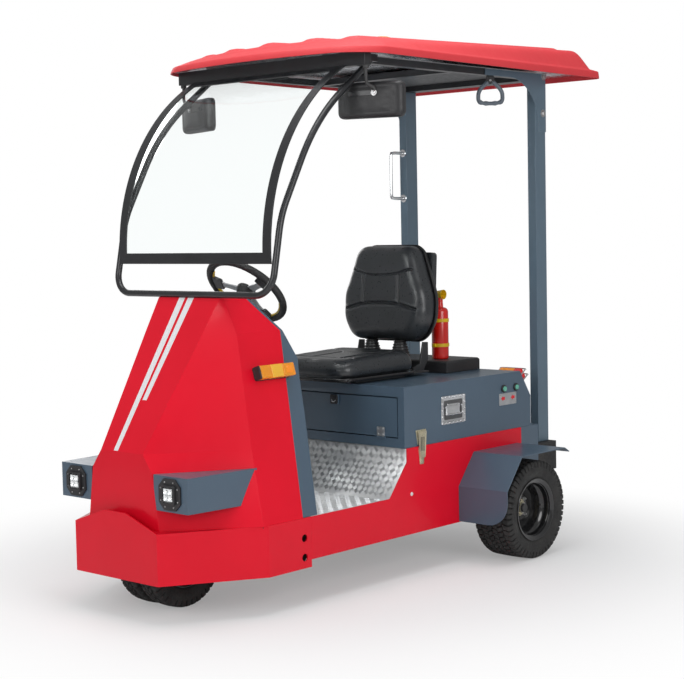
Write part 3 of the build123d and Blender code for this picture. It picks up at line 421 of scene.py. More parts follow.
def lathe(profile, centre, axis="x", turns=48):
    # (along, radius) pairs turned about an axis through the centre
    profile = np.asarray(profile, float)
    angle = np.linspace(0, 2 * math.pi, turns, endpoint=False)
    along = np.repeat(profile[:, 0][None, :], turns, 0)
    across = np.cos(angle)[:, None] * profile[:, 1]
    above = np.sin(angle)[:, None] * profile[:, 1]
    order = {"x": (along, across, above), "y": (above, along, across), "z": (across, above, along)}[axis]
    points = np.stack(order, -1) + np.asarray(centre, float)
    return points, gridFaces(turns, len(profile), closedRows=True)


def smoothPath(points, steps=8, closed=False):
    # a Catmull-Rom curve through the points
    p = np.asarray(points, float)
    ends = (p[-1:], p[:2]) if closed else (2 * p[:1] - p[1:2], 2 * p[-1:] - p[-2:-1])
    q = np.concatenate([ends[0], p, ends[1]])
    t = np.linspace(0, 1, steps, endpoint=False)[None, :, None]
    a, b, c, d = (q[i:len(q) - 3 + i, None, :] for i in range(4))
    curve = 0.5 * (2 * b + (c - a) * t + (2 * a - 5 * b + 4 * c - d) * t ** 2 + (3 * b - a - 3 * c + d) * t ** 3)
    curve = curve.reshape(-1, p.shape[1])
    return curve if closed else np.concatenate([curve, p[-1:]])


def bentBar(path, steps):
    # straight feet at both ends, a smooth curve between them
    path = np.asarray(path, float)
    return np.concatenate([path[:1], smoothPath(path[1:-1], steps), path[-1:]])


def tube(path, radius, sides=12, closed=False, flat=1.0):
    # a circle carried along the path, its frame turned as little as possible from point to point
    p = np.asarray(path, float)
    ahead = np.roll(p, -1, 0) - np.roll(p, 1, 0)
    if not closed:
        ahead[0], ahead[-1] = p[1] - p[0], p[-1] - p[-2]
    ahead /= np.linalg.norm(ahead, axis=1, keepdims=True)
    normal = np.cross(ahead[0], (0.0, 0.0, 1.0))
    if np.linalg.norm(normal) < 0.05:
        normal = np.cross(ahead[0], (0.0, 1.0, 0.0))
    normals = []
    for t in ahead:
        normal = normal - t * (normal @ t)
        normal /= np.linalg.norm(normal)
        normals.append(normal)
    normals = np.array(normals)
    sideways = np.cross(ahead, normals)
    angle = np.linspace(0, 2 * math.pi, sides, endpoint=False)
    size = np.broadcast_to(np.asarray(radius, float), (len(p),))[:, None, None]
    ring = np.cos(angle)[None, :, None] * normals[:, None] + flat * np.sin(angle)[None, :, None] * sideways[:, None]
    points = p[:, None] + size * ring
    faces = gridFaces(len(p), sides, closed, True)
    if not closed:
        faces += [list(range(sides))[::-1], [(len(p) - 1) * sides + i for i in range(sides)]]
    return points.reshape(-1, 3), faces


def plate(outline, thickness, origin, across, above):
    # a closed outline of (a, b) pairs on a plane, with walls of the given thickness behind it
    origin, across, above = (np.asarray(v, float) for v in (origin, across, above))
    out = np.cross(across, above)
    pairs = np.asarray(outline, float)
    front = origin + pairs[:, :1] * across + pairs[:, 1:2] * above
    count = len(pairs)
    points = np.concatenate([front, front - out * thickness])
    faces = [list(range(count)), [count + i for i in range(count)][::-1]]
    faces += [[(i + 1) % count, i, count + i, count + (i + 1) % count] for i in range(count)]
    return points, faces


def roundOutline(corners, radii, steps=5):
    # straight runs joined by arcs: each corner becomes a quadratic bend that starts radius away
    c = np.asarray(corners, float)
    out = []
    for i, r in enumerate(np.broadcast_to(np.asarray(radii, float), (len(c),))):
        p, a, b = c[i], c[i - 1], c[(i + 1) % len(c)]
        if r <= 0:
            out.append(p[None])
            continue
        start = p + (a - p) / np.linalg.norm(a - p) * r
        end = p + (b - p) / np.linalg.norm(b - p) * r
        t = np.linspace(0, 1, steps + 1)[:, None]
        out.append((1 - t) ** 2 * start + 2 * t * (1 - t) * p + t ** 2 * end)
    return np.concatenate(out)


def turned(shape, origin, across, above):
    # a shape drawn in its own plane, set on a plane of the object
    points, faces = shape
    points = np.asarray(points, float).reshape(-1, 3)
    origin, across, above = (np.asarray(v, float) for v in (origin, across, above))
    out = np.cross(across, above)
    return origin + points[:, :1] * across + points[:, 1:2] * above + points[:, 2:3] * out, faces


def mirrored(shape):
    points, faces = shape
    return points * np.array([-1.0, 1.0, 1.0]), [list(f)[::-1] for f in faces]


def hexHead(radius, height):
    # six-sided head with its corners turned off, on a washer; drawn along z
    angle = np.radians(np.arange(0, 360, 15.0))
    reach = radius / np.cos((angle + math.pi / 6) % (math.pi / 3) - math.pi / 6)
    rows = []
    for size, z in ((1.0, 0.0), (1.0, height * 0.8), (0.82, height), (0.0, height)):
        limit = np.minimum(reach, radius * 1.12) if z == height else reach
        rows.append(np.stack([limit * size * np.cos(angle), limit * size * np.sin(angle),
                              np.full(24, z)], -1))
    head = (np.array(rows), gridFaces(4, 24, closedCols=True))
    washer = lathe([(0.0012, 0.0), (0.0012, radius * 1.7), (0.0, radius * 1.75)], (0, 0, 0), "z", 24)
    return gather([head, washer])


# pieces

def newPiece(name, shape, finish, body, bevel=0.0, angle=35.0, replaced=(), weld=True):
    points, faces = shape
    mesh = bpy.data.meshes.new(name)
    mesh.from_pydata(np.asarray(points, float).reshape(-1, 3).tolist(), [], faces)
    if weld:
        bm = bmesh.new()
        bm.from_mesh(mesh)
        bmesh.ops.remove_doubles(bm, verts=bm.verts, dist=1e-5)
        bmesh.ops.recalc_face_normals(bm, faces=bm.faces)
        bm.to_mesh(mesh)
        bm.free()
    piece = addObject(name, mesh)
    finishPiece(piece, finish, body, bevel, angle, replaced)
    return piece


def addWall(piece, thickness, offset):
    wall = piece.modifiers.new("wall", "SOLIDIFY")
    wall.thickness = thickness
    wall.offset = offset


def finishPiece(piece, finish, body, bevel, angle, replaced):
    piece.data.materials.clear()
    piece.data.materials.append(materials[finish])
    piece.data.shade_smooth()
    piece.data.set_sharp_from_angle(angle=math.radians(angle))
    if bevel:
        soften = piece.modifiers.new("edges", "BEVEL")
        soften.width = bevel
        soften.segments = 2
        soften.limit_method = "ANGLE"
        soften.angle_limit = math.radians(angle)
        soften.harden_normals = True
    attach(piece, body)
    if replaced:
        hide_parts(*replaced)


bodyOf = {node: thing["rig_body"] for node, thing in frame["nodes"].items()}
slotOf = {row["node"]: row["material_slot"] for row in frame["record"]["subparts"]}


def softCopy(node, finish, bevel, angle):
    # the node's own form, merged and with its edges rounded as bent and welded sheet is
    mesh = bpy.data.meshes.new(node + ".finished")
    bm = bmesh.new()
    bm.from_mesh(frame["nodes"][node].data)
    bmesh.ops.remove_doubles(bm, verts=bm.verts, dist=2e-6)
    bmesh.ops.dissolve_limit(bm, angle_limit=math.radians(0.6), verts=bm.verts, edges=bm.edges)
    bm.to_mesh(mesh)
    bm.free()
    finishPiece(addObject(node + ".finished", mesh), finish, bodyOf[node], bevel, angle, (node,))


carried = {
    "chassis_frame": ("underPaint", 0.002), "tail_plates": ("slatePaint", 0.001),
    "body_sides": ("redPaint", 0.0025), "bumper": ("redPaint", 0.0015), "hood_shell": ("hoodRed", 0.0015),
    "console": ("slatePaint", 0.003), "lamp_boxes": ("slatePaint", 0.002),
    "windscreen_frame": ("blackPaint", 0.001), "roof_frame": ("blackPaint", 0.0015),
    "posts": ("paleSlate", 0.002), "fenders": ("slatePaint", 0.001), "battery_block": ("caseGrey", 0.004),
    "tow_hitch": ("blackPaint", 0.002), "pedals": ("blackPaint", 0.002), "seat_box": ("slatePaint", 0.0015),
    "box_door": ("slatePaint", 0.0015), "seat_base": ("blackPaint", 0.002),
    "steering_fork": ("underPaint", 0.002), "rear_tray": ("blackPlastic", 0.004),
    "steering_column": ("blackPlastic", 0.002), "floor_pan": ("treadPlate", 0.001),
    "rear_axle": ("castGrey", 0.002), "windscreen_tube": ("blackPaint", 0.0), "windscreen_glass": ("screenGlass", 0.0),
}
folded = ("hood_shell", "console", "bumper", "lamp_boxes", "body_sides", "fenders")
for node, (finishName, bevel) in carried.items():
    softCopy(node, finishName, bevel, 4.0 if node in folded else 30.0)
print("carried nodes:", len(carried))


def softStep(v):
    # 0 below 0, 1 above 1, and 3v^2 - 2v^3 between
    v = np.clip(v, 0.0, 1.0)
    return v * v * (3 - 2 * v)


# roof: closed outlines, one for each row, from the lip's inner wall over the shoulder to the middle line.
# Columns: inset of side, front and rear, rise over the lip at front and rear, corner radius at front and rear

roof = dict(
    half=0.625, frontY=0.765, rearY=2.640, lipFront=2.262, lipRear=2.250, bow=0.090, steps=14,
    ribs=(-0.440, -0.245, 0.0, 0.245, 0.440), ribCrest=0.020, ribRise=0.013, ribFall=0.030, ribFront=0.962,
    ribRear=2.440, crownFront=(0.985, 2.341), crownRear=(2.450, 2.393), crown=0.006, foilZ=2.2735,
    counts=(30, 16, 84, 14, 26),
    lip=[(.0070, .0070, .0070, .0130, .0250, .143, .043), (.0062, .0062, .0062, .0010, .0010, .144, .044),
         (.0050, .0050, .0050, .0000, .0000, .145, .045), (.0010, .0010, .0010, .0000, .0000, .149, .049),
         (.0000, .0000, .0000, .0012, .0012, .150, .050), (.0006, .0036, .0006, .0100, .0115, .150, .050),
         (.0022, .0120, .0022, .0240, .0285, .149, .050), (.0032, .0160, .0034, .0275, .0325, .149, .050),
         (.0052, .0200, .0070, .0300, .0345, .150, .052)],
    land=[(.0140, .0320, .0400, .0345, .0420, .150, .080), (.0580, .0850, .0860, .0540, .1240, .125, .090),
          (.1080, .1400, .1250, .0710, .1360, .098, .080), (.1700, .2200, .1900, .0780, .1400, .062, .070),
          (.3200, .4400, .3700, .0785, .1405, .050, .050), (.4700, .6600, .5500, .0790, .1410, .030, .030),
          (.624998, .9200, .7600, .0795, .1415, .001, .001)])


def roofOutlines(r, rows):
    # half of a rounded rectangle for every row, its front edge bowed by a square law, then mirrored
    side, front, rear, riseFront, riseRear, cornerFront, cornerRear = (c[:, None] for c in np.asarray(rows).T)
    half = r["half"] - side
    y0, y1 = r["frontY"] + front, r["rearY"] - rear
    a, b = np.minimum(cornerFront, half * 0.98), np.minimum(cornerRear, half * 0.98)
    runs = [np.linspace(0, 1, n, endpoint=False)[None, :] for n in r["counts"]]
    bend, turn = runs[1] * math.pi / 2, runs[3] * math.pi / 2
    last = np.linspace(0, 1, r["counts"][4] + 1)[None, :]
    x = np.concatenate([(half - a) * runs[0], half - a + a * np.sin(bend), half + 0 * runs[2],
                        half - b + b * np.cos(turn), (half - b) * (1 - last)], 1)
    y = np.concatenate([y0 + 0 * runs[0], y0 + a - a * np.cos(bend), y0 + a + (y1 - b - y0 - a) * runs[2],
                        y1 - b + b * np.sin(turn), y1 + 0 * last], 1)
    y = y + r["bow"] * softStep(half / 0.40) * (x / half) ** 2 * (1 - (y - y0) / (y1 - y0))
    z = r["lipFront"] + riseFront + (r["lipRear"] + riseRear - r["lipFront"] - riseFront) * (y - y0) / (y1 - y0)
    return [np.concatenate([g, k * g[:, -2:0:-1]], 1) for g, k in ((x, -1), (y, 1), (z, 1))]


def roofRibs(r, x, y, z):
    # a rib falls away from its crest by the 1.5th power of the distance; the higher of rib and land shows,
    # rounded where they meet
    (ya, za), (yb, zb) = r["crownFront"], r["crownRear"]
    plane = za + (zb - za) * (y - ya) / (yb - ya)
    z = z + r["crown"] * np.clip(1 - (x / 0.47) ** 2, 0, 1) * softStep((z - plane + 0.02) / 0.02)
    start = r["ribFront"] + 0.75 * r["bow"] * (x / 0.513) ** 2
    ends = np.maximum(np.maximum(start - y, y - r["ribRear"]), 0)
    for place in r["ribs"]:
        away = np.maximum(np.abs(x - place) - r["ribCrest"], 0)
        fall = 0.017 * ((away / r["ribFall"]) ** 1.5 + (ends / 0.050) ** 2)
        rib = plane + r["ribRise"] + r["crown"] * (1 - (place / 0.32) ** 2) - fall
        z = 0.5 * (z + rib + np.sqrt((z - rib) ** 2 + 0.004 ** 2))
    return z


def makeRoof(r):
    x, y, z = roofOutlines(r, r["lip"] + smoothPath(r["land"], r["steps"]).tolist())
    z = roofRibs(r, x, y, z)
    points = np.stack([x, y + noseY, z], -1)
    newPiece("roof_cover", (points, gridFaces(*x.shape, closedCols=True)), "roofRed", "tug",
             replaced=("roof_shell",), angle=38)


def makeLiner(r):
    # crinkled foil: ridged sines in all directions, weaker at the edge
    share = np.linspace(0, 1, 56)[:, None]
    low = np.array([.0069, .0069, .0069, .0115, .0235, .144, .044])
    high = np.array([.6240, .9200, .7600, .0115, .0235, .001, .001])
    x, y, z = roofOutlines(r, low + (high - low) * share)
    rng = np.random.default_rng(7)
    z = 0 * z
    for k in range(26):
        a, pitch, shift = rng.uniform(0, math.pi), rng.uniform(14, 70), rng.uniform(0, 6.28)
        z = z + 0.026 / pitch * np.abs(np.sin(pitch * (x * math.cos(a) + y * math.sin(a)) + shift))
    z = r["foilZ"] + z * (0.12 + 0.88 * softStep(share * 5.0))
    points = np.stack([x, y + noseY, z], -1)
    newPiece("foil_lining", (points, gridFaces(*x.shape, closedCols=True)), "foil", "tug",
             replaced=("roof_liner",), weld=False, angle=60)
    newPiece("ceiling_panels", boxRound((0.776, 0.586, 0.003), 0.001, at(0, 2.037, 2.2715)), "caseGrey", "tug")
    strips = [boxRound((0.012, 1.40, 0.003), 0.001, at(x0, 1.70, 2.2712)) for x0 in (-0.585, -0.455, 0.455, 0.585)]
    newPiece("ceiling_strips", gather(strips), "steel", "tug")


makeRoof(roof)
makeLiner(roof)
print("roof made")


# tyres: the cross profile is carried round the axle, the tread cut in by a row of slanting blocks

def crossProfile(radius, width, seat, samples):
    # bead, side wall and crown as one line of (across, radius), resampled evenly; s is -1..1 on the tread
    half = width / 2
    tread = half - 0.0105
    crown = np.linspace(-1, 1, samples)
    line = np.stack([crown * tread, radius - 0.0022 * crown ** 2], -1)
    bulge = (seat + radius) / 2 + 0.004
    wall = smoothPath([(tread + 0.0045, radius - 0.0042), (half - 0.0022, radius - 0.011), (half - 0.0004, radius - 0.024),
                       (half, bulge), (half - 0.0025, bulge - 0.013), (half - 0.0085, seat + 0.024),
                       (half - 0.0128, seat + 0.018), (half - 0.0135, seat + 0.010), (half - 0.0137, seat + 0.001)], 3)
    left = wall[::-1] * np.array([-1, 1])
    profile = np.concatenate([left, line, wall])
    s = np.concatenate([np.full(len(left), -1.0), crown, np.full(len(wall), 1.0)])
    outward = np.clip((profile[:, 1] - bulge - 0.012) / (radius - bulge - 0.012), 0, 1)
    return profile, s, outward


def makeTyre(name, t, centre, body, replaced):
    # slots of slanting blocks row by row, the grooves between rows, and the shoulder's notches
    profile, s, outward = crossProfile(t["radius"], t["width"], t["seat"], t["across"])
    angle = np.linspace(0, 2 * math.pi, t["around"], endpoint=False)[:, None]
    turn = angle / (2 * math.pi) * t["pitches"]
    onTread = np.abs(s) < 1
    cut = np.zeros((t["around"], len(s)))
    edges = t["edges"]
    sway = t["zigzag"] * (2 * np.abs((turn * 2) % 2 - 1) - 1)
    for k, (a, b) in enumerate(zip(edges, edges[1:])):
        place = (turn + t["phase"][k] + t["slant"][k] * (s[None, :] - (a + b) / 2)) % 1.0
        slot = softStep((t["slot"] - np.minimum(place, 1 - place)) / 0.05)
        cut = np.maximum(cut, slot * ((s >= a) & (s <= b))[None, :])
    for e in edges[1:-1]:
        away = np.abs(s[None, :] - e - sway) * 0.45 * t["width"]
        cut = np.maximum(cut, softStep((t["groove"] - away) / 0.0014))
    ends = np.where(s < 0, (turn + t["phase"][0] - t["slant"][0] * (1 + edges[1]) / 2) % 1.0,
                    (turn + t["phase"][-1] + t["slant"][-1] * (1 - edges[-2]) / 2) % 1.0)
    notch = softStep((t["slot"] * 1.15 - np.minimum(ends, 1 - ends)) / 0.06) * softStep(outward[None, :] / 0.35)
    depth = t["depth"] * np.where(onTread[None, :], cut, notch)
    rings = sum(np.exp(-((profile[:, 1] - at2) / 0.0016) ** 2) for at2 in t["rings"]) * 0.0011 * ~onTread
    r = profile[None, :, 1] - depth * np.where(onTread, 1.0, 0.75)
    out = np.sign(profile[None, :, 0])
    across = profile[None, :, 0] + out * (rings[None, :] - depth * ~onTread * 0.7)
    points = np.stack([across + 0 * angle, r * np.cos(angle), r * np.sin(angle)], -1) + centre
    newPiece(name, (points, gridFaces(*points.shape[:2], closedRows=True)), "tyreRubber", body,
             replaced=replaced, weld=False, angle=36)


rearTyre = dict(radius=0.2286, width=0.199, seat=0.127, around=500, across=50, pitches=52, depth=0.0080,
                edges=(-1.0, -0.66, -0.30, 0.0, 0.30, 0.66, 1.0), phase=(0, .5, .1, .6, .1, .5), slot=0.115,
                slant=(0.7, -1.1, 1.3, -1.3, 1.1, -0.7), groove=0.0024, zigzag=0.022, rings=(0.152, 0.160, 0.196))
frontTyre = dict(radius=0.200, width=0.100, seat=0.101, around=380, across=32, pitches=40, depth=0.0075,
                 edges=(-1.0, -0.45, 0.0, 0.45, 1.0), phase=(0, .5, 0, .5), slot=0.12,
                 slant=(0.5, -0.9, 0.9, -0.5), groove=0.0022, zigzag=0.04, rings=(0.125, 0.132, 0.165))
rearCentre = at(0.6215, 1.902, 0.2286)
frontCentre = at(0.061, 0.286, 0.200)
rearRim = dict(edge=0.0875, flange=0.144, inner=0.123, well=0.1052, disc=-0.006, back=-0.012, hole=0.030,
               studs=0.0508, nut=0.0085)
frontRim = dict(edge=0.038, flange=0.118, inner=0.097, well=0.0829, disc=0.004, back=0.010, hole=0.024,
                studs=0.042, nut=0.0065)


def rimProfile(m):
    # pressed rim from the bead seat over the rolled lip, down the stepped barrel to the dished disc and back out
    e, f, i, w, d, h = (m[k] for k in ("edge", "flange", "inner", "well", "disc", "hole"))
    step = 0.5 * e + 0.004
    front = [(e - .008, i + .0035), (e - .0005, i + .006), (e + .001, f - .004), (e + .0025, f), (e + .0045, f + .0004),
             (e + .006, f - .0018), (e + .0058, f - .005), (e + .003, f - .009), (e + .001, i + .006), (e - .003, i + .0008),
             (e - .010, i), (e - .0115, i - .002), (e - .016, i - .0022), (e - .0175, i - .0005), (step + .007, i - .001),
             (step + .001, i - .004), (step - .003, (i + w) / 2), (step - .008, w + .003), (step - .014, w + .0005)]
    outside = max(d, m["back"])
    face = [(outside + .010, w - .0005), (d + .002, w - .0035), (d, w - .009), (d, w * .70), (d + .0035, w * .65),
            (d + .005, w * .60), (d + .0042, w * .52), (d, w * .44), (d - .001, h)]
    b = m["back"]
    rear = [(b, h), (b, w - .002), (-step + .014, w + .0005), (-step - .001, i - .004), (-e + .010, i), (-e + .003, i + .0008),
            (-e - .003, f - .009), (-e - .006, f - .0018), (-e - .0045, f + .0004), (-e - .0025, f), (-e - .001, f - .004),
            (-e + .008, i + .0035)]
    return front + face + rear


def makeRim(name, m, centre, sign, body, replaced, hubRows):
    flip = np.array([sign, 1, 1])
    points, faces = lathe(rimProfile(m), (0, 0, 0), "x", 84)
    newPiece(name, (points * flip + centre, faces), "rimPaint", body, replaced=replaced, angle=32)
    valve = tube([(m["disc"] + .030, m["well"] + .006, 0), (m["disc"] + .052, m["well"] - .004, 0)], 0.004, 10)
    newPiece(name + "_valve", (valve[0] * flip + centre, valve[1]), "softRubber", body)
    hub = lathe(hubRows, (0, 0, 0), "x", 48)
    newPiece(name + "_hub", (hub[0] * flip + centre, hub[1]), "zinc", body, angle=28)
    nuts = []
    for k in range(4):
        a = math.radians(45 + 90 * k)
        spot = np.array([m["disc"] + .001, m["studs"] * math.cos(a), m["studs"] * math.sin(a)])
        nuts.append(turned(hexHead(m["nut"], 0.010), spot, (0, 1, 0), (0, 0, 1)))
        nuts.append(turned(lathe([(0.0, .0045), (0.016, .0045), (0.0175, .0032), (0.0175, 0.0)], (0, 0, 0), "z", 12), spot,
                           (0, 1, 0), (0, 0, 1)))
    centreBolt = turned(hexHead(0.0135, 0.011), (hubRows[-1][0], 0, 0), (0, 1, 0), (0, 0, 1))
    whole = gather(nuts + [centreBolt])
    newPiece(name + "_nuts", (whole[0] * flip + centre, whole[1]), "steel", body, angle=25)


rearHub = [(-.030, .022), (-.030, .041), (-.004, .041), (.002, .039), (.002, .0335), (.010, .0325), (.012, .030),
           (.012, .026), (.019, .024), (.020, .0215), (.020, 0.0)]
frontHub = [(-.004, .012), (-.004, .025), (.016, .025), (.022, .022), (.022, .016), (.0245, .014), (.0245, 0.0)]


def makeWheels():
    for side, sign in (("left", 1), ("right", -1)):
        centre = rearCentre * np.array([sign, 1, 1])
        body = bodyOf["rear_tyre_" + side]
        makeTyre("tread_rear_" + side, rearTyre, centre, body, ("rear_tyre_" + side,))
        makeRim("wheel_rear_" + side, rearRim, centre, sign, body,
                ("rear_rim_" + side,), rearHub)
        centre = frontCentre * np.array([sign, 1, 1])
        body = bodyOf["front_tyres"]
        makeTyre("tread_front_" + side, frontTyre, centre, body, ("front_tyres",))
        makeRim("wheel_front_" + side, frontRim, centre, sign, body, ("front_rims",), frontHub)


makeWheels()
print("wheels made")


# padded pieces: a closed form of scaled outlines, swollen by cloth, then given its sewn channels

def padForm(outline, rows, origin, across, above, rise=0.0):
    # each row is the outline scaled about its middle and lifted off the plane; the ends close to a point.
    # rise tips the top: it adds to the lift in line with the place along above and with the lift itself
    pairs = np.asarray(outline, float)
    middle = (pairs.max(0) + pairs.min(0)) / 2
    across, above = np.asarray(across, float), np.asarray(above, float)
    out = np.cross(across, above)
    reach = max(abs(lift) for scale, lift in rows)
    count = len(pairs)

    def put(flat, lift):
        lift = lift + rise * lift / reach * (flat[:, 1:2] - pairs[:, 1].min()) / np.ptp(pairs[:, 1])
        return np.asarray(origin, float) + flat[:, :1] * across + flat[:, 1:2] * above + lift * out

    points = [put(middle + (pairs - middle) * scale, lift) for scale, lift in rows]
    faces = gridFaces(len(rows), count, closedCols=True)
    for k, index in enumerate((0, len(rows) - 1)):
        points.append(put(middle[None], rows[index][1]))
        ring = [index * count + i for i in range(count)]
        faces += [[ring[i], ring[(i + 1) % count], len(rows) * count + k] for i in range(count)]
    return np.concatenate(points), faces


def vertexArray(mesh):
    flat = np.empty(len(mesh.vertices) * 3)
    mesh.vertices.foreach_get("co", flat)
    return flat.reshape(-1, 3)


def putVertices(mesh, points):
    mesh.vertices.foreach_set("co", np.asarray(points, float).ravel())
    mesh.update()


def bake(piece):
    # the modifiers' result becomes the mesh
    bpy.context.view_layer.update()
    made = bpy.data.meshes.new_from_object(piece.evaluated_get(bpy.context.evaluated_depsgraph_get()))
    piece.modifiers.clear()
    piece.data = made


def evened(mesh, field, rounds):
    # every point takes the mean of its own and its neighbours' values, over and over: creases go, swelling stays
    ends = np.empty(len(mesh.edges) * 2, dtype=np.int64)
    mesh.edges.foreach_get("vertices", ends)
    a, b = ends[::2], ends[1::2]
    count = np.bincount(ends, minlength=len(field))[:, None] + 1.0
    for k in range(rounds):
        total = field.copy()
        for i in range(3):
            total[:, i] += np.bincount(a, field[b, i], len(field)) + np.bincount(b, field[a, i], len(field))
        field = total / count
    return field


def makePad(name, pad, finish, body, replaced):
    piece = newPiece(name, padForm(**pad["form"]), finish, body, replaced=replaced, angle=60)
    remesh = piece.modifiers.new("even", "REMESH")
    remesh.mode = "VOXEL"
    remesh.voxel_size = pad["voxel"]
    remesh.use_smooth_shade = True
    bake(piece)
    start = vertexArray(piece.data)
    cloth = piece.modifiers.new("swell", "CLOTH")
    cloth.settings.use_pressure = True
    cloth.settings.uniform_pressure_force = pad["pressure"]
    cloth.settings.effector_weights.gravity = 0.0
    cloth.settings.tension_stiffness = pad["stiffness"]
    cloth.settings.compression_stiffness = pad["stiffness"]
    for step in range(1, 21):
        scene.frame_set(step)
    bake(piece)
    scene.frame_set(1)
    moved = vertexArray(piece.data) - start
    length = np.linalg.norm(moved, axis=1, keepdims=True)
    moved *= np.minimum(1.0, pad["cap"] / np.maximum(length, 1e-9))
    putVertices(piece.data, start + evened(piece.data, moved, pad["evening"]))
    putVertices(piece.data, evened(piece.data, vertexArray(piece.data), 3))
    smooth = piece.modifiers.new("smooth", "SUBSURF")
    smooth.levels = smooth.render_levels = 1
    bake(piece)
    carve(piece.data, pad)
    piece.data.materials.clear()
    piece.data.materials.append(materials[finish])
    piece.data.shade_smooth()
    return piece


def carve(mesh, pad):
    # each sewn channel sinks the cover by a bell-shaped groove around its line, with a low swell beside it
    points = vertexArray(mesh)
    form = pad["form"]
    across, above = np.asarray(form["across"], float), np.asarray(form["above"], float)
    out = np.cross(across, above)
    local = points - np.asarray(form["origin"], float)
    flat = np.stack([local @ across, local @ above], -1)
    height = local @ out
    sink = np.zeros(len(points))
    for line in pad["seams"]:
        path = smoothPath(line["path"], 6) if len(line["path"]) > 2 else np.asarray(line["path"], float)
        nearest = np.full(len(points), 9.0)
        for a, b in zip(path, path[1:]):
            run = b - a
            share = np.clip(((flat - a) @ run) / (run @ run), 0, 1)
            nearest = np.minimum(nearest, np.linalg.norm(flat - a - share[:, None] * run, axis=1))
        w = line["width"]
        bell = np.exp(-(nearest / w) ** 2) - 0.22 * np.exp(-((nearest - 2.2 * w) / w) ** 2)
        sink = np.maximum(sink, line["depth"] * bell) + np.minimum(line["depth"] * bell, 0)
    face = softStep((height - pad["faceFrom"]) / 0.012)
    points = points - (sink * face)[:, None] * out
    middle = (flat.max(0) + flat.min(0)) / 2
    away = flat - middle
    away /= np.maximum(np.linalg.norm(away, axis=1, keepdims=True), 1e-9)
    for level, depth, width in pad["bands"]:
        ring = depth * np.exp(-((height - level) / width) ** 2)
        points = points - ring[:, None] * (away[:, :1] * across + away[:, 1:2] * above)
    putVertices(mesh, points)


leanAngle = math.radians(3.7)
backUp = np.array([0, math.sin(leanAngle), math.cos(leanAngle)])
backPlace = at(0, 1.644, 1.005)
backOutline = roundOutline([(-0.170, 0.459), (-0.262, 0.215), (-0.262, 0.100), (-0.200, 0.0), (0.200, 0.0),
                            (0.262, 0.100), (0.262, 0.215), (0.170, 0.459)],
                           [0.050, 0.046, 0.046, 0.048, 0.048, 0.046, 0.046, 0.050], 8)
seatBack = dict(
    form=dict(outline=backOutline, origin=backPlace, across=(1, 0, 0), above=backUp,
              rows=[(0.30, -0.0045), (0.60, -0.004), (0.76, -0.0035), (0.855, -0.006), (0.915, -0.013),
                    (0.962, -0.025), (0.990, -0.041), (1.0, -0.060), (1.0, -0.088), (0.985, -0.1035),
                    (0.93, -0.105), (0.5, -0.105), (0.2, -0.105)]),
    voxel=0.006, pressure=4.0, stiffness=15.0, cap=0.007, evening=14, fill=0.9, faceFrom=-0.030,
    bands=[(-0.094, 0.0030, 0.0035), (-0.082, 0.0010, 0.0025)],
    seams=[dict(path=[(-0.178, 0.342), (-0.095, 0.321), (0.0, 0.313), (0.095, 0.321), (0.178, 0.342)],
                depth=0.0115, width=0.0052),
           dict(path=[(-0.108, 0.312), (-0.110, 0.184)], depth=0.0115, width=0.0085),
           dict(path=[(0.108, 0.312), (0.110, 0.184)], depth=0.0115, width=0.0085),
           dict(path=[(-0.213, 0.152), (-0.110, 0.176), (0.0, 0.183), (0.110, 0.176), (0.213, 0.152)],
                depth=0.0115, width=0.0052)])
cushionOutline = roundOutline([(-0.240, 0.518), (-0.240, 0.0), (0.240, 0.0), (0.240, 0.518)],
                              [0.055, 0.105, 0.105, 0.055], 10)
seatCushion = dict(
    form=dict(outline=cushionOutline, origin=at(0, 1.122, 0.872), across=(1, 0, 0), above=(0, 1, 0), rise=0.018,
              rows=[(0.25, 0.070), (0.55, 0.071), (0.70, 0.0745), (0.79, 0.0780), (0.86, 0.0765), (0.92, 0.069),
                    (0.965, 0.056), (0.990, 0.040), (0.992, 0.023), (0.972, 0.008), (0.90, 0.001), (0.4, 0.001)]),
    voxel=0.006, pressure=4.0, stiffness=15.0, cap=0.007, evening=14, fill=0.9, faceFrom=0.030,
    bands=[(0.0065, 0.0030, 0.0035)],
    seams=[dict(path=[(-0.200, 0.120), (-0.085, 0.146), (0.0, 0.152), (0.085, 0.146), (0.200, 0.120)],
                depth=0.0085, width=0.0048),
           dict(path=[(-0.195, 0.405), (-0.085, 0.372), (0.0, 0.364), (0.085, 0.372), (0.195, 0.405)],
                depth=0.0085, width=0.0048),
           dict(path=[(-0.092, 0.147), (-0.092, 0.370)], depth=0.0080, width=0.0065),
           dict(path=[(0.092, 0.147), (0.092, 0.370)], depth=0.0080, width=0.0065)])
seatBody = bodyOf["seat_cushion"]


def scaledOutline(outline, scale):
    middle = (outline.max(0) + outline.min(0)) / 2
    return middle + (outline - middle) * scale


def ringOn(outline, scale, lift, radius, origin, above, sides=8):
    # a round cord that follows an outline at one lift
    pairs = scaledOutline(outline, scale)
    across, above = np.array([1.0, 0, 0]), np.asarray(above, float)
    path = origin + pairs[:, :1] * across + pairs[:, 1:2] * above + lift * np.cross(across, above)
    return tube(path, radius, sides, True)


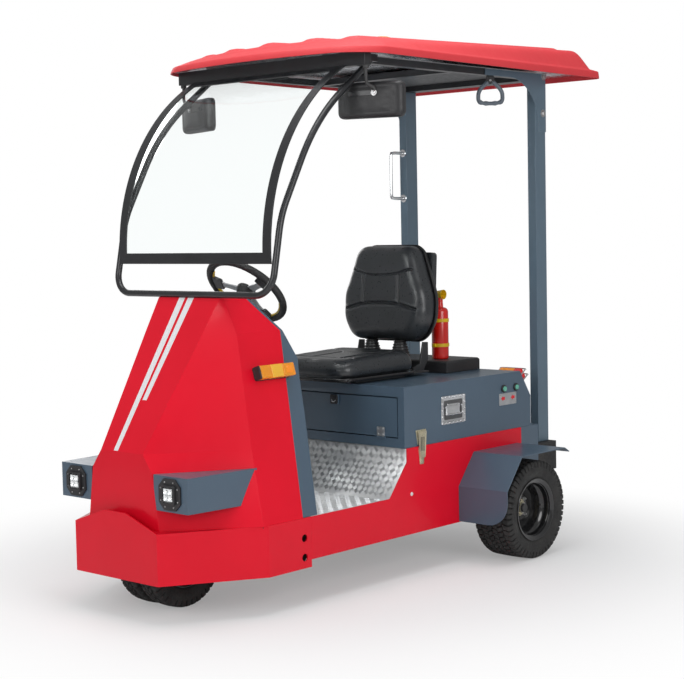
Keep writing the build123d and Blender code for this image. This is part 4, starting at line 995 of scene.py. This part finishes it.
def makeSeat():
    makePad("back_pad", seatBack, "vinyl", seatBody, ("seat_back",))
    makePad("seat_pad", seatCushion, "vinyl", seatBody, ("seat_cushion",))
    # moulded shell behind the back pad, with a flat pocket sewn on it
    rows = [(0.3, -.1053), (0.90, -.1053), (0.984, -.1056), (0.990, -.108), (0.984, -.118), (0.965, -.128), (0.93, -.136),
            (0.88, -.1395), (0.80, -.1403), (0.4, -.1403)]
    newPiece("back_shell", padForm(backOutline, rows, backPlace, (1, 0, 0), backUp), "blackPlastic", seatBody,
             replaced=("seat_back_shell",), angle=50)
    pocket = roundOutline([(-0.205, 0.425), (-0.205, 0.130), (0.205, 0.130), (0.205, 0.425)], 0.018, 5)
    rows = [(1.0, -.132), (1.0, -.158), (0.992, -.165), (0.972, -.169), (0.94, -.1695), (0.935, -.1675), (0.92, -.1675),
            (0.915, -.1700), (0.5, -.1712), (0.2, -.1712)]
    newPiece("back_pocket", padForm(pocket, rows, backPlace, (1, 0, 0), backUp), "vinyl", seatBody, angle=50)
    piping = [ringOn(backOutline, 0.992, -0.1035, 0.0034, backPlace, backUp),
              ringOn(pocket, 0.985, -0.1665, 0.0024, backPlace, backUp)]
    newPiece("seat_piping", gather(piping), "softRubber", seatBody)
    rim = scaledOutline(cushionOutline, 0.985)
    rows = [np.concatenate([rim, 0 * rim[:, :1]], 1) + at(0, 1.122, z) for z in (0.8585, 0.8735)]
    strip = newPiece("seat_flange", (np.array(rows), gridFaces(2, len(rim), closedCols=True)), "glossBlack", seatBody,
                     weld=False)
    addWall(strip, 0.003, -1.0)


makeSeat()
print("seat made")


# steering wheel, drawn in its own plane: z is up the column

wheelTilt = math.radians(45)
wheelCentre = at(0, 0.770, 1.282)
wheelAxes = (np.array([1.0, 0, 0]), np.array([0, math.cos(wheelTilt), -math.sin(wheelTilt)]),
             np.array([0, math.sin(wheelTilt), math.cos(wheelTilt)]))


def onWheel(shape):
    points, faces = shape
    points = np.asarray(points, float).reshape(-1, 3)
    return wheelCentre + points @ np.array(wheelAxes), faces


def ringArc(radius, start, end, steps):
    a = np.radians(np.linspace(start, end, steps))
    return np.stack([radius * np.cos(a), radius * np.sin(a), 0 * a], -1)


def makeHandwheel(w):
    turn = np.linspace(0, 2 * math.pi, 120, endpoint=False)
    grip = w["thick"] * (1 + 0.05 * np.cos(turn * 3 + 0.5) + 0.03 * np.sin(turn * 24) ** 8)
    path = np.stack([w["radius"] * np.cos(turn), w["radius"] * np.sin(turn), 0 * turn], -1)
    rimShape = tube(path, grip, 16, True)
    hubRows = [(-0.038, 0.010), (-0.038, 0.030), (-0.012, 0.042), (0.000, 0.046), (0.006, 0.043),
               (0.009, 0.034), (0.011, 0.018), (0.011, 0.0)]
    hub = lathe(hubRows, (0, 0, 0), "z", 40)
    newPiece("wheel_grip", onWheel(gather([rimShape, hub])), "softRubber", w["body"],
             replaced=("steering_wheel",), angle=60)
    spokes, clamps, accents = [], [], []
    for angle in w["spokes"]:
        c, s = math.cos(math.radians(angle)), math.sin(math.radians(angle))
        ahead, side = np.array([c, s, 0]), np.array([-s, c, 0])
        arm = roundOutline([(0.034, -0.019), (0.105, -0.013), (0.150, -0.026), (0.150, 0.026), (0.105, 0.013),
                            (0.034, 0.019)], [0, 0.02, 0, 0, 0.02, 0], 5)
        spokes.append(plate(arm, 0.006, 0 * ahead, ahead, side))
        cover = roundOutline([(0.120, -0.030), (0.168, -0.040), (0.168, 0.040), (0.120, 0.030)],
                             [0.006, 0.0, 0.0, 0.006], 4)
        clamps.append(plate(cover, 0.013, np.array([0, 0, 0.004]), ahead, side))
        for low, high in ((-26, -9), (9, 26)):
            accents.append(tube(ringArc(w["radius"] - 0.0150, angle + low, angle + high, 12), 0.0075, 10, flat=0.8))
    accents.append(tube(ringArc(w["radius"] - 0.0150, 30, 74, 16), 0.0075, 10, flat=0.8))
    accents.append(tube(ringArc(0.047, 20, 160, 20) + np.array([0, 0, 0.003]), 0.004, 8))
    newPiece("wheel_spokes", onWheel(gather(spokes)), "greySpoke", w["body"], bevel=0.001)
    newPiece("wheel_clamps", onWheel(gather(clamps)), "blackPlastic", w["body"], bevel=0.0025)
    newPiece("wheel_accents", onWheel(gather(accents)), "yellowPlastic", w["body"])
    stem = lathe([(-0.092, 0.0), (-0.092, 0.012), (-0.036, 0.012), (-0.036, 0.0)], (0, 0, 0), "z", 24)
    newPiece("wheel_stem", onWheel(stem), "steel", w["body"])


makeHandwheel(dict(radius=0.181, thick=0.0160, spokes=(90, 200, 340), body=bodyOf["steering_wheel"]))
print("steering wheel made")


# small parts: every face direction has its own across and above

facing = {"+x": ((0, 1, 0), (0, 0, 1)), "-y": ((1, 0, 0), (0, 0, 1)), "+z": ((1, 0, 0), (0, 1, 0))}


def block(x0, x1, y0, y1, z0, z1, radius=0.001):
    return boxRound((x1 - x0, y1 - y0, z1 - z0), radius, at((x0 + x1) / 2, (y0 + y1) / 2, (z0 + z1) / 2))


def boltsOn(face, radius, height, spots):
    return [turned(hexHead(radius, height), at(*spot), *facing[face]) for spot in spots]


def domeHead(radius, height):
    # round-headed screw: the upper part of a circle turned about z, with a cross-slot's dent at its middle
    a = np.linspace(0, 1, 6)
    rows = [(0.0, radius)] + [(height * math.sin(k * math.pi / 2), radius * math.cos(k * math.pi / 2 * 0.9))
                              for k in a[1:]] + [(height * 0.6, radius * 0.10), (height * 0.6, 0.0)]
    return lathe(rows, (0, 0, 0), "z", 16)


def domesOn(face, radius, height, spots):
    return [turned(domeHead(radius, height), at(*spot), *facing[face]) for spot in spots]


def sheetOn(outline, rows, spot, face):
    return padForm(outline, rows, at(*spot), *facing[face])


def rect(a, b, corner, steps=5):
    return roundOutline([(-a, b), (-a, -b), (a, -b), (a, b)], corner, steps)


def pair(shapes):
    return gather(shapes + [mirrored(one) for one in shapes])


# lamps

frontLamp = dict(x=0.291, y=0.0375, z=0.521, half=0.0625, cut=0.030, lens=0.038, proud=0.0100, cell=0.0235, gap=0.0125)


def makeHeadlamps(h):
    a, c = h["half"], h["half"] - h["cut"]
    octagon = roundOutline([(-a, c), (-a, -c), (-c, -a), (c, -a), (a, -c), (a, c), (c, a), (-c, a)], 0.003, 3)
    spot = (h["x"], h["y"], h["z"])
    flange = sheetOn(octagon, [(0.3, -.008), (1.0, -.008), (1.0, -.0012), (0.985, 0.0), (0.4, 0.0)], spot, "-y")
    square = rect(h["lens"], h["lens"], 0.009, 6)
    p = h["proud"]
    bezel = sheetOn(square, [(1.0, -.001), (1.0, p - .003), (.985, p - .0008), (.955, p), (.82, p), (.79, p - .001),
                             (.78, p - .004), (.74, -.0040), (.3, -.0040)], spot, "-y")
    newPiece("headlamp_cases", pair([flange, bezel]), "blackPlastic", bodyOf["headlamps"],
             replaced=("headlamps",), angle=30)
    screws = [(h["x"] + 0.0545 * math.cos(math.radians(t)), h["y"], h["z"] + 0.0545 * math.sin(math.radians(t)))
              for t in (27, 63, 117, 153, 207, 243, 297, 333)]
    newPiece("headlamp_screws", pair(domesOn("-y", 0.0034, 0.0022, screws)), "steel", "tug")
    cells, lights, size = [], [], h["cell"]
    u = np.linspace(-1, 1, 17)
    for dx in (-h["gap"], h["gap"]):
        for dz in (-h["gap"], h["gap"]):
            # a paraboloid dish, cut square: depth falls with the square of the distance from its middle
            x, z = np.meshgrid(u * size / 2, u * size / 2)
            depth = 0.0090 * np.clip(1 - (x ** 2 + z ** 2) / (0.49 * size) ** 2, 0, 1)
            dish = np.stack([h["x"] + dx + x, h["y"] - p + 0.004 + depth * 0.8 + noseY, h["z"] + dz + z], -1)
            cells.append((dish, gridFaces(17, 17)))
            lights.append(turned(domeHead(0.0036, 0.003), at(h["x"] + dx, h["y"] - p + 0.0110, h["z"] + dz),
                                 *facing["-y"]))
    newPiece("headlamp_cells", pair(cells), "reflector", "tug", angle=50)
    newPiece("headlamp_lights", pair(lights), "ledCell", "tug")
    glass = sheetOn(rect(0.0292, 0.0292, 0.005), [(.4, p - .003), (1.0, p - .003), (1.0, p - .0015), (.97, p - .001),
                                                  (.4, p - .0008)], spot, "-y")
    newPiece("headlamp_glass", pair([glass]), "lampGlass", "tug", angle=40)


def makeSideLamps():
    lean = math.atan(0.305)
    out, above = np.array([math.cos(lean), 0, math.sin(lean)]), np.array([-math.sin(lean), 0, math.cos(lean)])
    middle = at(0.305, 0.601, 0.953)
    across = np.array([0.0, 1.0, 0.0])
    base = padForm(rect(0.1025, 0.029, 0.012), [(0.5, .0005), (1.0, .0005), (1.0, .012), (.985, .0145), (.5, .0145)],
                   middle, across, above)
    ends = [padForm(rect(0.003, 0.0280, 0.002), [(0.5, .012), (1.0, .012), (1.0, .038), (.9, .041), (.5, .042)],
                    middle + across * shift, across, above) for shift in (-0.0995,)]
    newPiece("side_lamp_bases", pair([base] + ends), "blackPlastic", "tug", angle=35)
    rows = [(0.5, .013), (1.0, .013), (1.0, .035), (.98, .0400), (.93, .0425), (.75, .0435), (.3, .0440)]
    lens = [padForm(rect(half, 0.0278, 0.004), rows, middle + across * shift, across, above)
            for shift, half in ((-0.0655, 0.0305), (0.0680, 0.0340))]
    lens.append(turned(lathe([(.0425, .019), (.0450, .018), (.0465, .0)], (0, 0, 0), "z", 32),
                       middle + across * 0.0680, across, above))
    centre = padForm(rect(0.0340, 0.0278, 0.004), rows, middle - across * 0.0003, across, above)
    newPiece("side_lamp_middles", pair([centre]), "yellowLens", bodyOf["side_lamps"], angle=40)
    newPiece("side_lamp_lenses", pair(lens), "amberLens", bodyOf["side_lamps"],
             replaced=("side_lamps",), angle=40)


def makeBeacon():
    base = 2.3914
    turns = 72
    angle = np.linspace(0, 2 * math.pi, turns, endpoint=False)[:, None]
    rows = np.array([(0.0135, .0505), (0.020, .0515), (0.034, .0505), (0.041, .0475), (0.046, .042), (0.0495, .033),
                     (0.0514, .020), (0.052, 0.0)])
    # flutes: the radius waves by a cosine, less towards the top
    r = rows[:, 1] * (1 - 0.018 * (0.5 + 0.5 * np.cos(angle * 18)) * np.clip((0.046 - rows[:, 0]) / 0.01, 0, 1))
    dome = (np.stack([r * np.cos(angle), r * np.sin(angle) + at(0, 1.700, 0)[1], base + rows[:, 0] + 0 * r], -1),
            gridFaces(turns, len(rows), closedRows=True))
    newPiece("beacon_lens", dome, "amberLens", bodyOf["beacon"], replaced=("beacon",), angle=40)
    foot = lathe([(-0.030, .054), (0.006, .056), (0.012, .055), (0.014, .0535), (0.014, .045)], at(0, 1.700, base), "z",
                 56)
    newPiece("beacon_foot", foot, "blackPlastic", "tug", angle=35)


def makeRearLamps():
    run, drop = 0.084, 0.124
    length = math.hypot(run, drop)
    out = np.array([0, drop, run]) / length
    up = np.array([0, -run, drop]) / length
    across = np.array([-1.0, 0, 0])
    middle = at(0.400, 2.152, 0.781) + up * 0.028
    case = padForm(rect(0.065, 0.029, 0.006), [(0.5, .0), (1.0, .0), (1.0, .016), (.98, .018), (.5, .018)], middle,
                   across, up)
    newPiece("rear_lamp_cases", pair([case]), "blackPlastic", bodyOf["rear_lamps"],
             angle=35)
    rows = [(0.5, .017), (1.0, .017), (1.0, .038), (.965, .0425), (.90, .0437), (.4, .0440)]
    body = bodyOf["rear_lamps"]
    red = [padForm(rect(0.0215, 0.0275, 0.004), rows, middle + across * s, across, up) for s in (-0.0425,)]
    amber = [padForm(rect(0.0210, 0.0275, 0.004), rows, middle + across * s, across, up) for s in (0.0005, 0.0430)]
    newPiece("rear_lamp_red", pair(red), "redLens", body, replaced=("rear_lamps",), angle=40)
    newPiece("rear_lamp_amber", pair(amber), "amberLens", body, angle=40)
    hoops = []
    for s in (-0.016, 0.016):
        corners = [(-.073, 0), (-.073, .045), (-.064, .054), (.064, .054), (.073, .045), (.073, 0)]
        path = [middle + across * a + up * s + out * b for a, b in corners]
        hoops.append(tube(bentBar(path, 5), 0.003, 10))
    newPiece("rear_lamp_guards", pair(hoops), "steel", body)


makeHeadlamps(frontLamp)
makeSideLamps()
makeBeacon()
makeRearLamps()
print("lamps on the vehicle made")


# mirrors, handles, latches

def makeMirrors():
    a = math.radians(18.0)
    across = np.array([math.cos(a), math.sin(a), 0])
    rear = np.array([-math.sin(a), math.cos(a), 0])
    up = np.array([0.0, 0, 1.0])
    middle = at(0.533, 1.002, 2.075)
    outline = rect(0.150, 0.075, 0.030, 8)
    # lift is towards the rear: across x up points forward, so the case's lifts run from the glass side on
    case = padForm(outline, [(0.3, -.0190), (.925, -.0190), (.945, -.0195), (.955, -.0228), (.975, -.0232), (.995, -.0215),
                             (1.0, -.017), (1.0, 0.0), (.985, .007), (.93, .0165), (.84, .0225), (.74, .0230),
                             (.70, .0225), (.66, .0240), (.3, .0245)], middle, across, up)
    newPiece("mirror_cases", pair([case]), "blackPlastic", bodyOf["mirrors"], replaced=("mirrors",),
             angle=45)
    glass = padForm(outline, [(0.3, -.0196), (.92, -.0196), (.92, -.0190), (0.3, -.0190)], middle, across, up)
    newPiece("mirror_faces", pair([glass]), "mirrorGlass", "tug", angle=40)
    front = middle - rear * 0.026
    bar = padForm(rect(0.063, 0.010, 0.003, 3), [(0.4, -.003), (1.0, -.003), (1.0, .002), (.97, .003), (.4, .003)],
                  front - across * 0.029 + up * 0.028, across, up)
    top = at(0.560, 0.9427, 2.2146)
    end = front - rear * 0.004 + across * 0.026 + up * 0.028
    path = smoothPath([top, top - up * 0.040, top - up * 0.062 + (end - top) * 0.12, end + up * 0.020, end], 8)
    stalk = [tube(path, 0.007, 14), tube([top + up * 0.003, top - up * 0.012], 0.013, 20)]
    newPiece("mirror_stalks", pair(stalk), "castGrey", "tug")
    newPiece("mirror_bars", pair([bar]), "blackPaint", "tug")
    bolt = turned(hexHead(0.0075, 0.007), front - rear * 0.0032 + across * 0.026 + up * 0.028, across, up)
    newPiece("mirror_bolts", pair([bolt]), "steel", "tug", angle=25)


def makeGrips():
    body, slotName = bodyOf["grab_handles"], slotOf["grab_handles"]
    corners = [(2.334, 1.928), (2.262, 1.928), (2.242, 1.9235), (2.234, 1.904), (2.234, 1.716), (2.242, 1.6965),
               (2.262, 1.692), (2.334, 1.692)]
    path = bentBar([at(-0.408, y, z) for y, z in corners], 6)
    feet = [lathe([(-.0005, .008), (-.0005, .019), (-.003, .020), (-.004, .0185), (-.004, .008)], at(-0.408, 2.334, z), "y",
                  24) for z in (1.928, 1.692)]
    newPiece("post_grip", gather([tube(path, 0.008, 16)] + feet), "chrome", body, replaced=("grab_handles",),
             angle=40)
    loops, blocks, bolts = [], [], []
    for side in (1, -1):
        turn = math.radians(-45.0 * side)
        along = np.array([-math.sin(turn), math.cos(turn), 0])
        across = np.array([math.cos(turn), math.sin(turn), 0])
        top = at(side * 0.4115, 2.000, 2.243)
        corners = smoothPath([(-.010, -.026), (-.044, -.058), (-.057, -.090), (-.044, -.124), (.044, -.124),
                              (.057, -.090), (.044, -.058), (.010, -.026)], 7)
        # finger waves on the lower run
        waves = np.where(corners[:, 1] < -0.112, 0.0012 * np.cos(corners[:, 0] * 260.0), 0.0)
        loop = top + corners[:, :1] * along + corners[:, 1:2] * np.array([0, 0, 1.0])
        loops.append(tube(loop, 0.0065 + waves, 12, flat=1.5))
        blocks.append(padForm(rect(0.019, 0.0165, 0.006), [(.4, -.006), (1.0, -.006), (1.0, .005), (.95, .006),
                      (.4, .006)], top - np.array([0, 0, 0.0165]), along, (0, 0, 1)))
        for out in (1, -1):
            bolts.append(turned(domeHead(0.006, 0.004), top - np.array([0, 0, 0.020]) + across * out * 0.006,
                                along * out, (0, 0, 1)))
    newPiece("strap_loops", gather(loops), "strapGrey", body)
    newPiece("strap_blocks", gather(blocks), "blackPlastic", body, angle=35)
    newPiece("strap_bolts", gather(bolts), "steel", body)


def makeCovers():
    body, slotName = bodyOf["cover_handles"], slotOf["cover_handles"]
    spot = (0.484, 1.588, 0.712)
    dish = sheetOn(rect(0.088, 0.065, 0.010, 6), [(.4, .0002), (1.0, .0002), (1.0, .0018), (.988, .0030), (.90, .0030),
                   (.865, .0026), (.845, .0010), (.80, .0006), (.4, .0005)], spot, "+x")
    studs = [(0.487, 1.588 + u * 0.0815, 0.712 + v * 0.0585) for u, v in
             [(t, s) for t in np.linspace(-1, 1, 7) for s in (-1, 1)] + [(t, s) for t in (-1, 1) for s in (-.5, 0, .5)]]
    rim = domesOn("+x", 0.0058, 0.0030, studs)
    # a dark grey sheet laid in the chrome dish: painted shade that makes the shallow dish look deep
    paintedShadeFloor = sheetOn(rect(0.067, 0.044, 0.008), [(.4, .0008), (1.0, .0008), (.99, .0014), (.4, .0014)], spot, "+x")
    newPiece("dish_painted_shade", pair([paintedShadeFloor]), "caseGrey", body)
    tongue = sheetOn(rect(0.046, 0.028, 0.006), [(.4, .0014), (1.0, .0014), (.97, .0034), (.9, .0042), (.4, .0040)],
                     (0.484, 1.588, 0.712), "+x")
    bail = [(1.530, 0.726), (1.530, 0.700), (1.538, 0.692), (1.638, 0.692), (1.646, 0.700), (1.646, 0.726)]
    path = bentBar([at(0.4915, y, z) for y, z in bail], 6)
    pins = [tube([at(0.4875, y, 0.727), at(0.4955, y, 0.727)], 0.0075, 16) for y in (1.530, 1.646)]
    newPiece("dish_handles", pair([dish, tongue] + rim + [tube(path, 0.005, 12)] + pins), "chrome", body,
             replaced=("cover_handles",), angle=35)
    base = roundOutline([(-.036, .034), (-.024, -.032), (.024, -.032), (.036, .034)], .004, 3)
    base = sheetOn(base, [(.4, .0002), (1.0, .0002), (1.0, .0024), (.96, .003), (.4, .003)], (0.484, 1.352, 0.611), "+x")
    # the lever stands clear of the catch below it and is carried by a block on its base
    taper = roundOutline([(-.028, .060), (-.017, -.060), (.017, -.060), (.028, .060)], .005, 4)
    lever = sheetOn(taper, [(.4, .0085), (1.0, .0085), (1.0, .0112), (.96, .0126), (.92, .0118), (.4, .0118)],
                    (0.484, 1.352, 0.580), "+x")
    carrier = block(0.486, 0.493, 1.336, 1.368, 0.592, 0.630)
    newPiece("toggle_latches", pair([base, lever, carrier]), "zinc", body, angle=35)
    grooves = [sheetOn(rect(.0018, .034, .0016, 2), [(.5, .0110), (1.0, .0110), (.9, .0124), (.3, .0125)],
                       (0.484, 1.352 + s, 0.582), "+x") for s in (-.009, 0, .009)]
    newPiece("latch_grooves", pair(grooves), "castGrey", body, angle=35)
    taper = roundOutline([(-.021, .036), (-.013, -.040), (.013, -.040), (.021, .036)], .004, 4)
    catch = sheetOn(taper, [(.4, .0002), (1.0, .0002), (1.0, .0026), (.94, .0034), (.4, .0034)],
                    (0.488, 1.350, 0.5315), "+x")
    newPiece("latch_catches", pair([catch] + domesOn("+x", 0.0035, 0.002, [(0.4912, 1.350, 0.501)])), "zinc", "tug",
             angle=35)
    buttons, rings = [], []
    for y in (1.975, 2.072):
        rings.append(turned(lathe([(.0, .0185), (.006, .0185), (.0075, .017), (.0075, .0125), (.005, .0125)], (0, 0, 0),
                                  "z", 32), at(0.484, y, 0.770), *facing["+x"]))
        buttons.append(turned(lathe([(.002, .0122), (.0105, .0122), (.0128, .0105), (.0138, .006), (.014, 0.0)], (0, 0, 0),
                                    "z", 32), at(0.484, y, 0.770), *facing["+x"]))
    newPiece("button_rings", gather(rings), "blackPlastic", body, angle=35)
    newPiece("buttons", gather(buttons), "greenButton", body, angle=35)
    sign = sheetOn(rect(0.068, 0.028, 0.004, 4), [(.4, .0002), (1.0, .0002), (1.0, .0016), (.985, .002), (.4, .002)],
                   (0.484, 2.007, 0.720), "+x")
    newPiece("side_plate", sign, "satinPlate", body, angle=35)
    newPiece("side_plate_rivets", gather(domesOn("+x", 0.0028, 0.0016, [
        (0.486, y, z) for y in (1.945, 2.069) for z in (0.698, 0.742)])), "steel", body)
    arrow = np.array([(-.016, 0), (0, .0125), (0, .007), (.014, .007), (.014, -.007), (0, -.007), (0, -.0125)])[::-1]
    arrows = [plate(arrow, .0004, at(0.4864, y, 0.724), *facing["+x"]) for y in (1.968, 2.046)]
    newPiece("side_plate_arrows", gather(arrows), "signRed", body)


def makeExtinguisher():
    x, y, low = 0.146, 1.927, 0.902
    body, slotName = bodyOf["extinguisher"], slotOf["extinguisher"]
    can = lathe([(0.0, .030), (0.001, .036), (0.005, .0395), (0.010, .040), (0.228, .040), (0.238, .0375), (0.246, .031),
                 (0.250, .020), (0.251, .013)], at(x, y, low), "z", 56)
    newPiece("bottle", can, "bottleRed", body, replaced=("extinguisher",), angle=50)
    neck = [lathe([(0.248, .0165), (0.262, .0160), (0.270, .0150), (0.298, .0150), (0.298, .0)], at(x, y, low), "z", 24)]
    newPiece("bottle_valve", gather(neck), "bottleRed", body, angle=35)
    horn = lathe([(-.026, 0.0), (-.026, .016), (-.010, .018), (.016, .0225), (.024, .0235), (.024, .0215), (.016, .0195),
                  (-.006, .015), (-.006, 0.0)], at(x, y, low + .312), "x", 32)
    newPiece("bottle_horn", horn, "yellowPlastic", body, angle=35)
    straps = [lathe([(z, .0402), (z, .0428), (z + .016, .0428), (z + .016, .0402)], at(x, y, low), "z", 56)
              for z in (.060, .180)]
    strip = block(x - .0435, x - .0395, y - .013, y + .013, low, low + .205)
    clips = [block(x - .008, x + .008, y - .052, y - .042, low + z, low + z + .016) for z in (.060, .180)]
    newPiece("bottle_straps", gather(straps + [strip] + clips), "yellowPlastic", body, angle=35)


makeMirrors()
makeGrips()
makeCovers()
makeExtinguisher()
print("mirrors, handles and bottle made")


# bolts, tread plate, boots and other dressings

def makeBolts():
    deck, tug = bodyOf["seat_box"], "tug"
    lists = [
        ("knee_bolts", "steel", tug, "bright_steel", boltsOn("+x", 0.011, 0.008, [
            (0.4365, 2.404, 2.262), (0.4365, 2.395, 2.083)])),
        ("boot_bolts", "steel", deck, "bright_steel", domesOn("+x", 0.006, 0.004, [
            (0.228, y, 0.8645) for y in (1.20, 1.42, 1.58)])),
        ("side_caps", "whitePaint", tug, "bright_steel", domesOn("+x", 0.009, 0.0045, [(0.488, 1.278, 0.367)])),
        ("bumper_cups", "underPaint", tug, "black_paint", [
            lathe([(.0, .0185), (-.040, .0185), (-.040, .0)], at(0.478, 0.590, z), "x", 28) for z in (0.203, 0.283)]),
        ("floor_screws", "steel", tug, "bright_steel", domesOn("+z", 0.006, 0.003, [
            (x, y, 0.368) for x in (0.15, 0.41) for y in (0.76, 1.08)])),
    ]
    for name, finish, body, slotName, shapes in lists:
        newPiece(name, pair(shapes), finish, body, angle=28)


def makeChecker():
    # groups of four raised bars, each a low dome: height h (1-u^4)(1-v^2) over its length and width
    u, v = np.linspace(-1, 1, 5)[:, None], np.linspace(-1, 1, 3)[None, :]
    length, width, high = 0.0125, 0.0021, 0.0017
    faces = gridFaces(5, 3)
    h = high * (1 - u ** 4) * (1 - v ** 2) + 0.0004
    shapes = []
    planes = [(at(0, 0.640, 0.3678), np.array([0, 1.0, 0]), 0.475),
              (at(0, 1.1296, 0.3712), np.array([0, 0.1187, 0.1453]) / math.hypot(0.1187, 0.1453), 0.180),
              (at(0, 1.2452, 0.5135), np.array([0, 0, 1.0]), 0.0595)]
    for origin, along, reach in planes:
        across = np.array([1.0, 0, 0])
        out = np.cross(across, along)
        for i in range(int(reach / 0.0297)):
            for j in range(32):
                turn = math.radians(45 if (i + j) % 2 else -45)
                c, s = math.cos(turn), math.sin(turn)
                for k in range(4):
                    a, b = u * length, (k - 1.5) * 0.0062 + v * width * np.sqrt(np.clip(1 - u ** 2, 0, 1))
                    x, y = -0.465 + j * 0.030 + a * c - b * s, 0.015 + i * 0.0297 + a * s + b * c
                    shapes.append((origin + x[..., None] * across + y[..., None] * along + h[..., None] * out, faces))
    newPiece("tread_bars", gather(shapes), "satinPlate", "tug", weld=False, angle=60)
    # the sheet itself runs out over both sills to the body's outer skin
    path = [(0.632, 0.3672), (1.1275, 0.3672), (1.2462, 0.5125), (1.2462, 0.5710)]
    rows = np.array([[at(x, y, z) for x in (-0.4868, 0.4868)] for y, z in path])
    sheet = newPiece("tread_sheet", (rows, gridFaces(4, 2)), "treadPlate", "tug", weld=False,
                     angle=10)
    addWall(sheet, 0.0010, 0.0)


def makeBoots():
    # ribbed rubber boots: radius steps in a sine wave down the cone
    t = np.linspace(0, 1, 49)
    rows = [(0.932 + 0.077 * s, 0.046 - 0.021 * s + 0.0032 * math.sin(s * 2 * math.pi * 6)) for s in t]
    shapes = [lathe([(0.932, .030)] + rows + [(1.009, .018)], at(x, 1.692, 0), "z", 40) for x in (0.088, -0.088)]
    newPiece("seat_boots", gather(shapes), "softRubber", seatBody, angle=60)
    ribs = []
    for x, width in ((-0.110, 0.090), (0.090, 0.070)):
        tilt = math.radians(35)
        up = np.array([0, math.sin(tilt), math.cos(tilt)])
        place = at(x, 0.744, 0.450)
        # pedal pads: a rubber cover with raised ribs towards the driver
        cover = padForm(rect(width / 2 - .001, .047, .006), [(.4, .004), (1.0, .004), (1.0, .008), (.96, .0095), (.4, .0095)],
                        place, (-1, 0, 0), up)
        ribs.append(cover)
        for k in range(-3, 4):
            ribs.append(padForm(rect(width / 2 - .008, .003, .002, 2), [(.5, .009), (1.0, .009), (.8, .0118), (.3, .012)],
                                place + up * k * 0.012, (-1, 0, 0), up))
    newPiece("pedal_pads", gather(ribs), "softRubber", "tug", angle=35)


def makeDoorTrim():
    body = bodyOf["box_door"]
    lock = [sheetOn(rect(.022, .021, .006), [(.4, .008), (1.0, .008), (1.0, .0105), (.94, .0125), (.4, .0128)],
                    (0.078, 1.2400, 0.768), "-y"),
            sheetOn(rect(.014, .0035, .003, 3), [(.4, .0125), (1.0, .0125), (1.0, .0160), (.8, .0175), (.3, .0175)],
                    (0.078, 1.2400, 0.7755), "-y")]
    newPiece("door_lock", gather(lock), "blackPlastic", body, angle=35)
    ring = tube([at(0.078 + .0115 * math.cos(t), 1.2268, 0.768 + .0115 * math.sin(t)) for t in
                 np.linspace(math.pi * 1.05, math.pi * 1.95, 14)], 0.0018, 8)
    newPiece("door_lock_ring", ring, "chrome", body)
    wings = [sheetOn(rect(.022, .021, .005), [(.4, .0004), (1.0, .0004), (1.0, .0022), (.96, .0030), (.4, .0030)],
                     (x, 1.2365, 0.640), "-y") for x in (0.351, -0.195)]
    screws = domesOn("-y", 0.0038, 0.0024, [(x + dx, 1.2335, 0.640 + dz) for x in (0.351, -0.195)
                                            for dx in (-.014, .014) for dz in (-.012, .012)])
    newPiece("door_hinge_plates", gather(wings + screws), "satinPlate", body, angle=35)


makeBolts()
makeChecker()
makeBoots()
makeDoorTrim()
print("dressings made")


# floor, world and lamps

def makeStage():
    size = 30.0
    mesh = bpy.data.meshes.new("floor")
    mesh.from_pydata([(-size, -size, 0), (size, -size, 0), (size, size, 0), (-size, size, 0)], [], [[0, 1, 2, 3]])
    floor = addObject("floor", mesh)
    tree, shader, places = startMaterial("paleFloor")
    setInputs(tree, shader, {"Base Color": (0.86, 0.86, 0.87, 1), "Roughness": 0.7, "Specular IOR Level": 0.1})
    # what the camera sees of the floor turns from lit to plain white with the distance from the vehicle
    reach = addNode(tree, "VectorMath", {0: places}, operation="LENGTH")
    fade = mapRange(tree, reach.outputs["Value"], 1.0, 2.4, 0.28, 1.0, interpolation_type="SMOOTHSTEP")
    glow = addNode(tree, "Emission", {})
    mixed = mixShader(tree, arith(tree, "MULTIPLY", fade, seenDirectly(tree)), shader.outputs["BSDF"],
                      glow.outputs["Emission"])
    setInputs(tree, tree.nodes["Material Output"], {"Surface": mixed})
    mesh.materials.append(materials["paleFloor"])
    world = bpy.data.worlds.new("studio")
    scene.world = world
    world.use_nodes = True
    tree = world.node_tree
    plain = tree.nodes["Background"]
    setInputs(tree, plain, {"Color": (1, 1, 1, 1), "Strength": 0.36})
    white = addNode(tree, "Background", {"Color": (1, 1, 1, 1), "Strength": 1.0})
    mixed = mixShader(tree, seenDirectly(tree), plain.outputs["Background"], white.outputs["Background"])
    setInputs(tree, tree.nodes["World Output"], {"Surface": mixed})


lamps = {
    "top": dict(place=(0.3, -0.2, 4.6), aim=(0, 0, 0.6), size=3.6, power=110.0),
    "left": dict(place=(5.2, -1.2, 2.6), aim=(0, 0, 0.9), size=3.0, power=85.0),
    "front": dict(place=(0.8, -5.6, 2.4), aim=(0, 0, 1.0), size=3.0, power=70.0),
    "right": dict(place=(-4.8, 1.6, 2.8), aim=(0, 0, 1.0), size=3.0, power=50.0),
}


def makeLamps():
    for name, lamp in lamps.items():
        data = bpy.data.lights.new(name, "AREA")
        data.shape = "DISK"
        data.size = lamp["size"]
        data.energy = lamp["power"]
        made = addObject(name, data)
        made.location = lamp["place"]
        aim = Vector(lamp["aim"]) - Vector(lamp["place"])
        made.rotation_mode = "QUATERNION"
        made.rotation_quaternion = aim.to_track_quat("-Z", "Y")


makeStage()
makeLamps()
print("stage and lamps made")
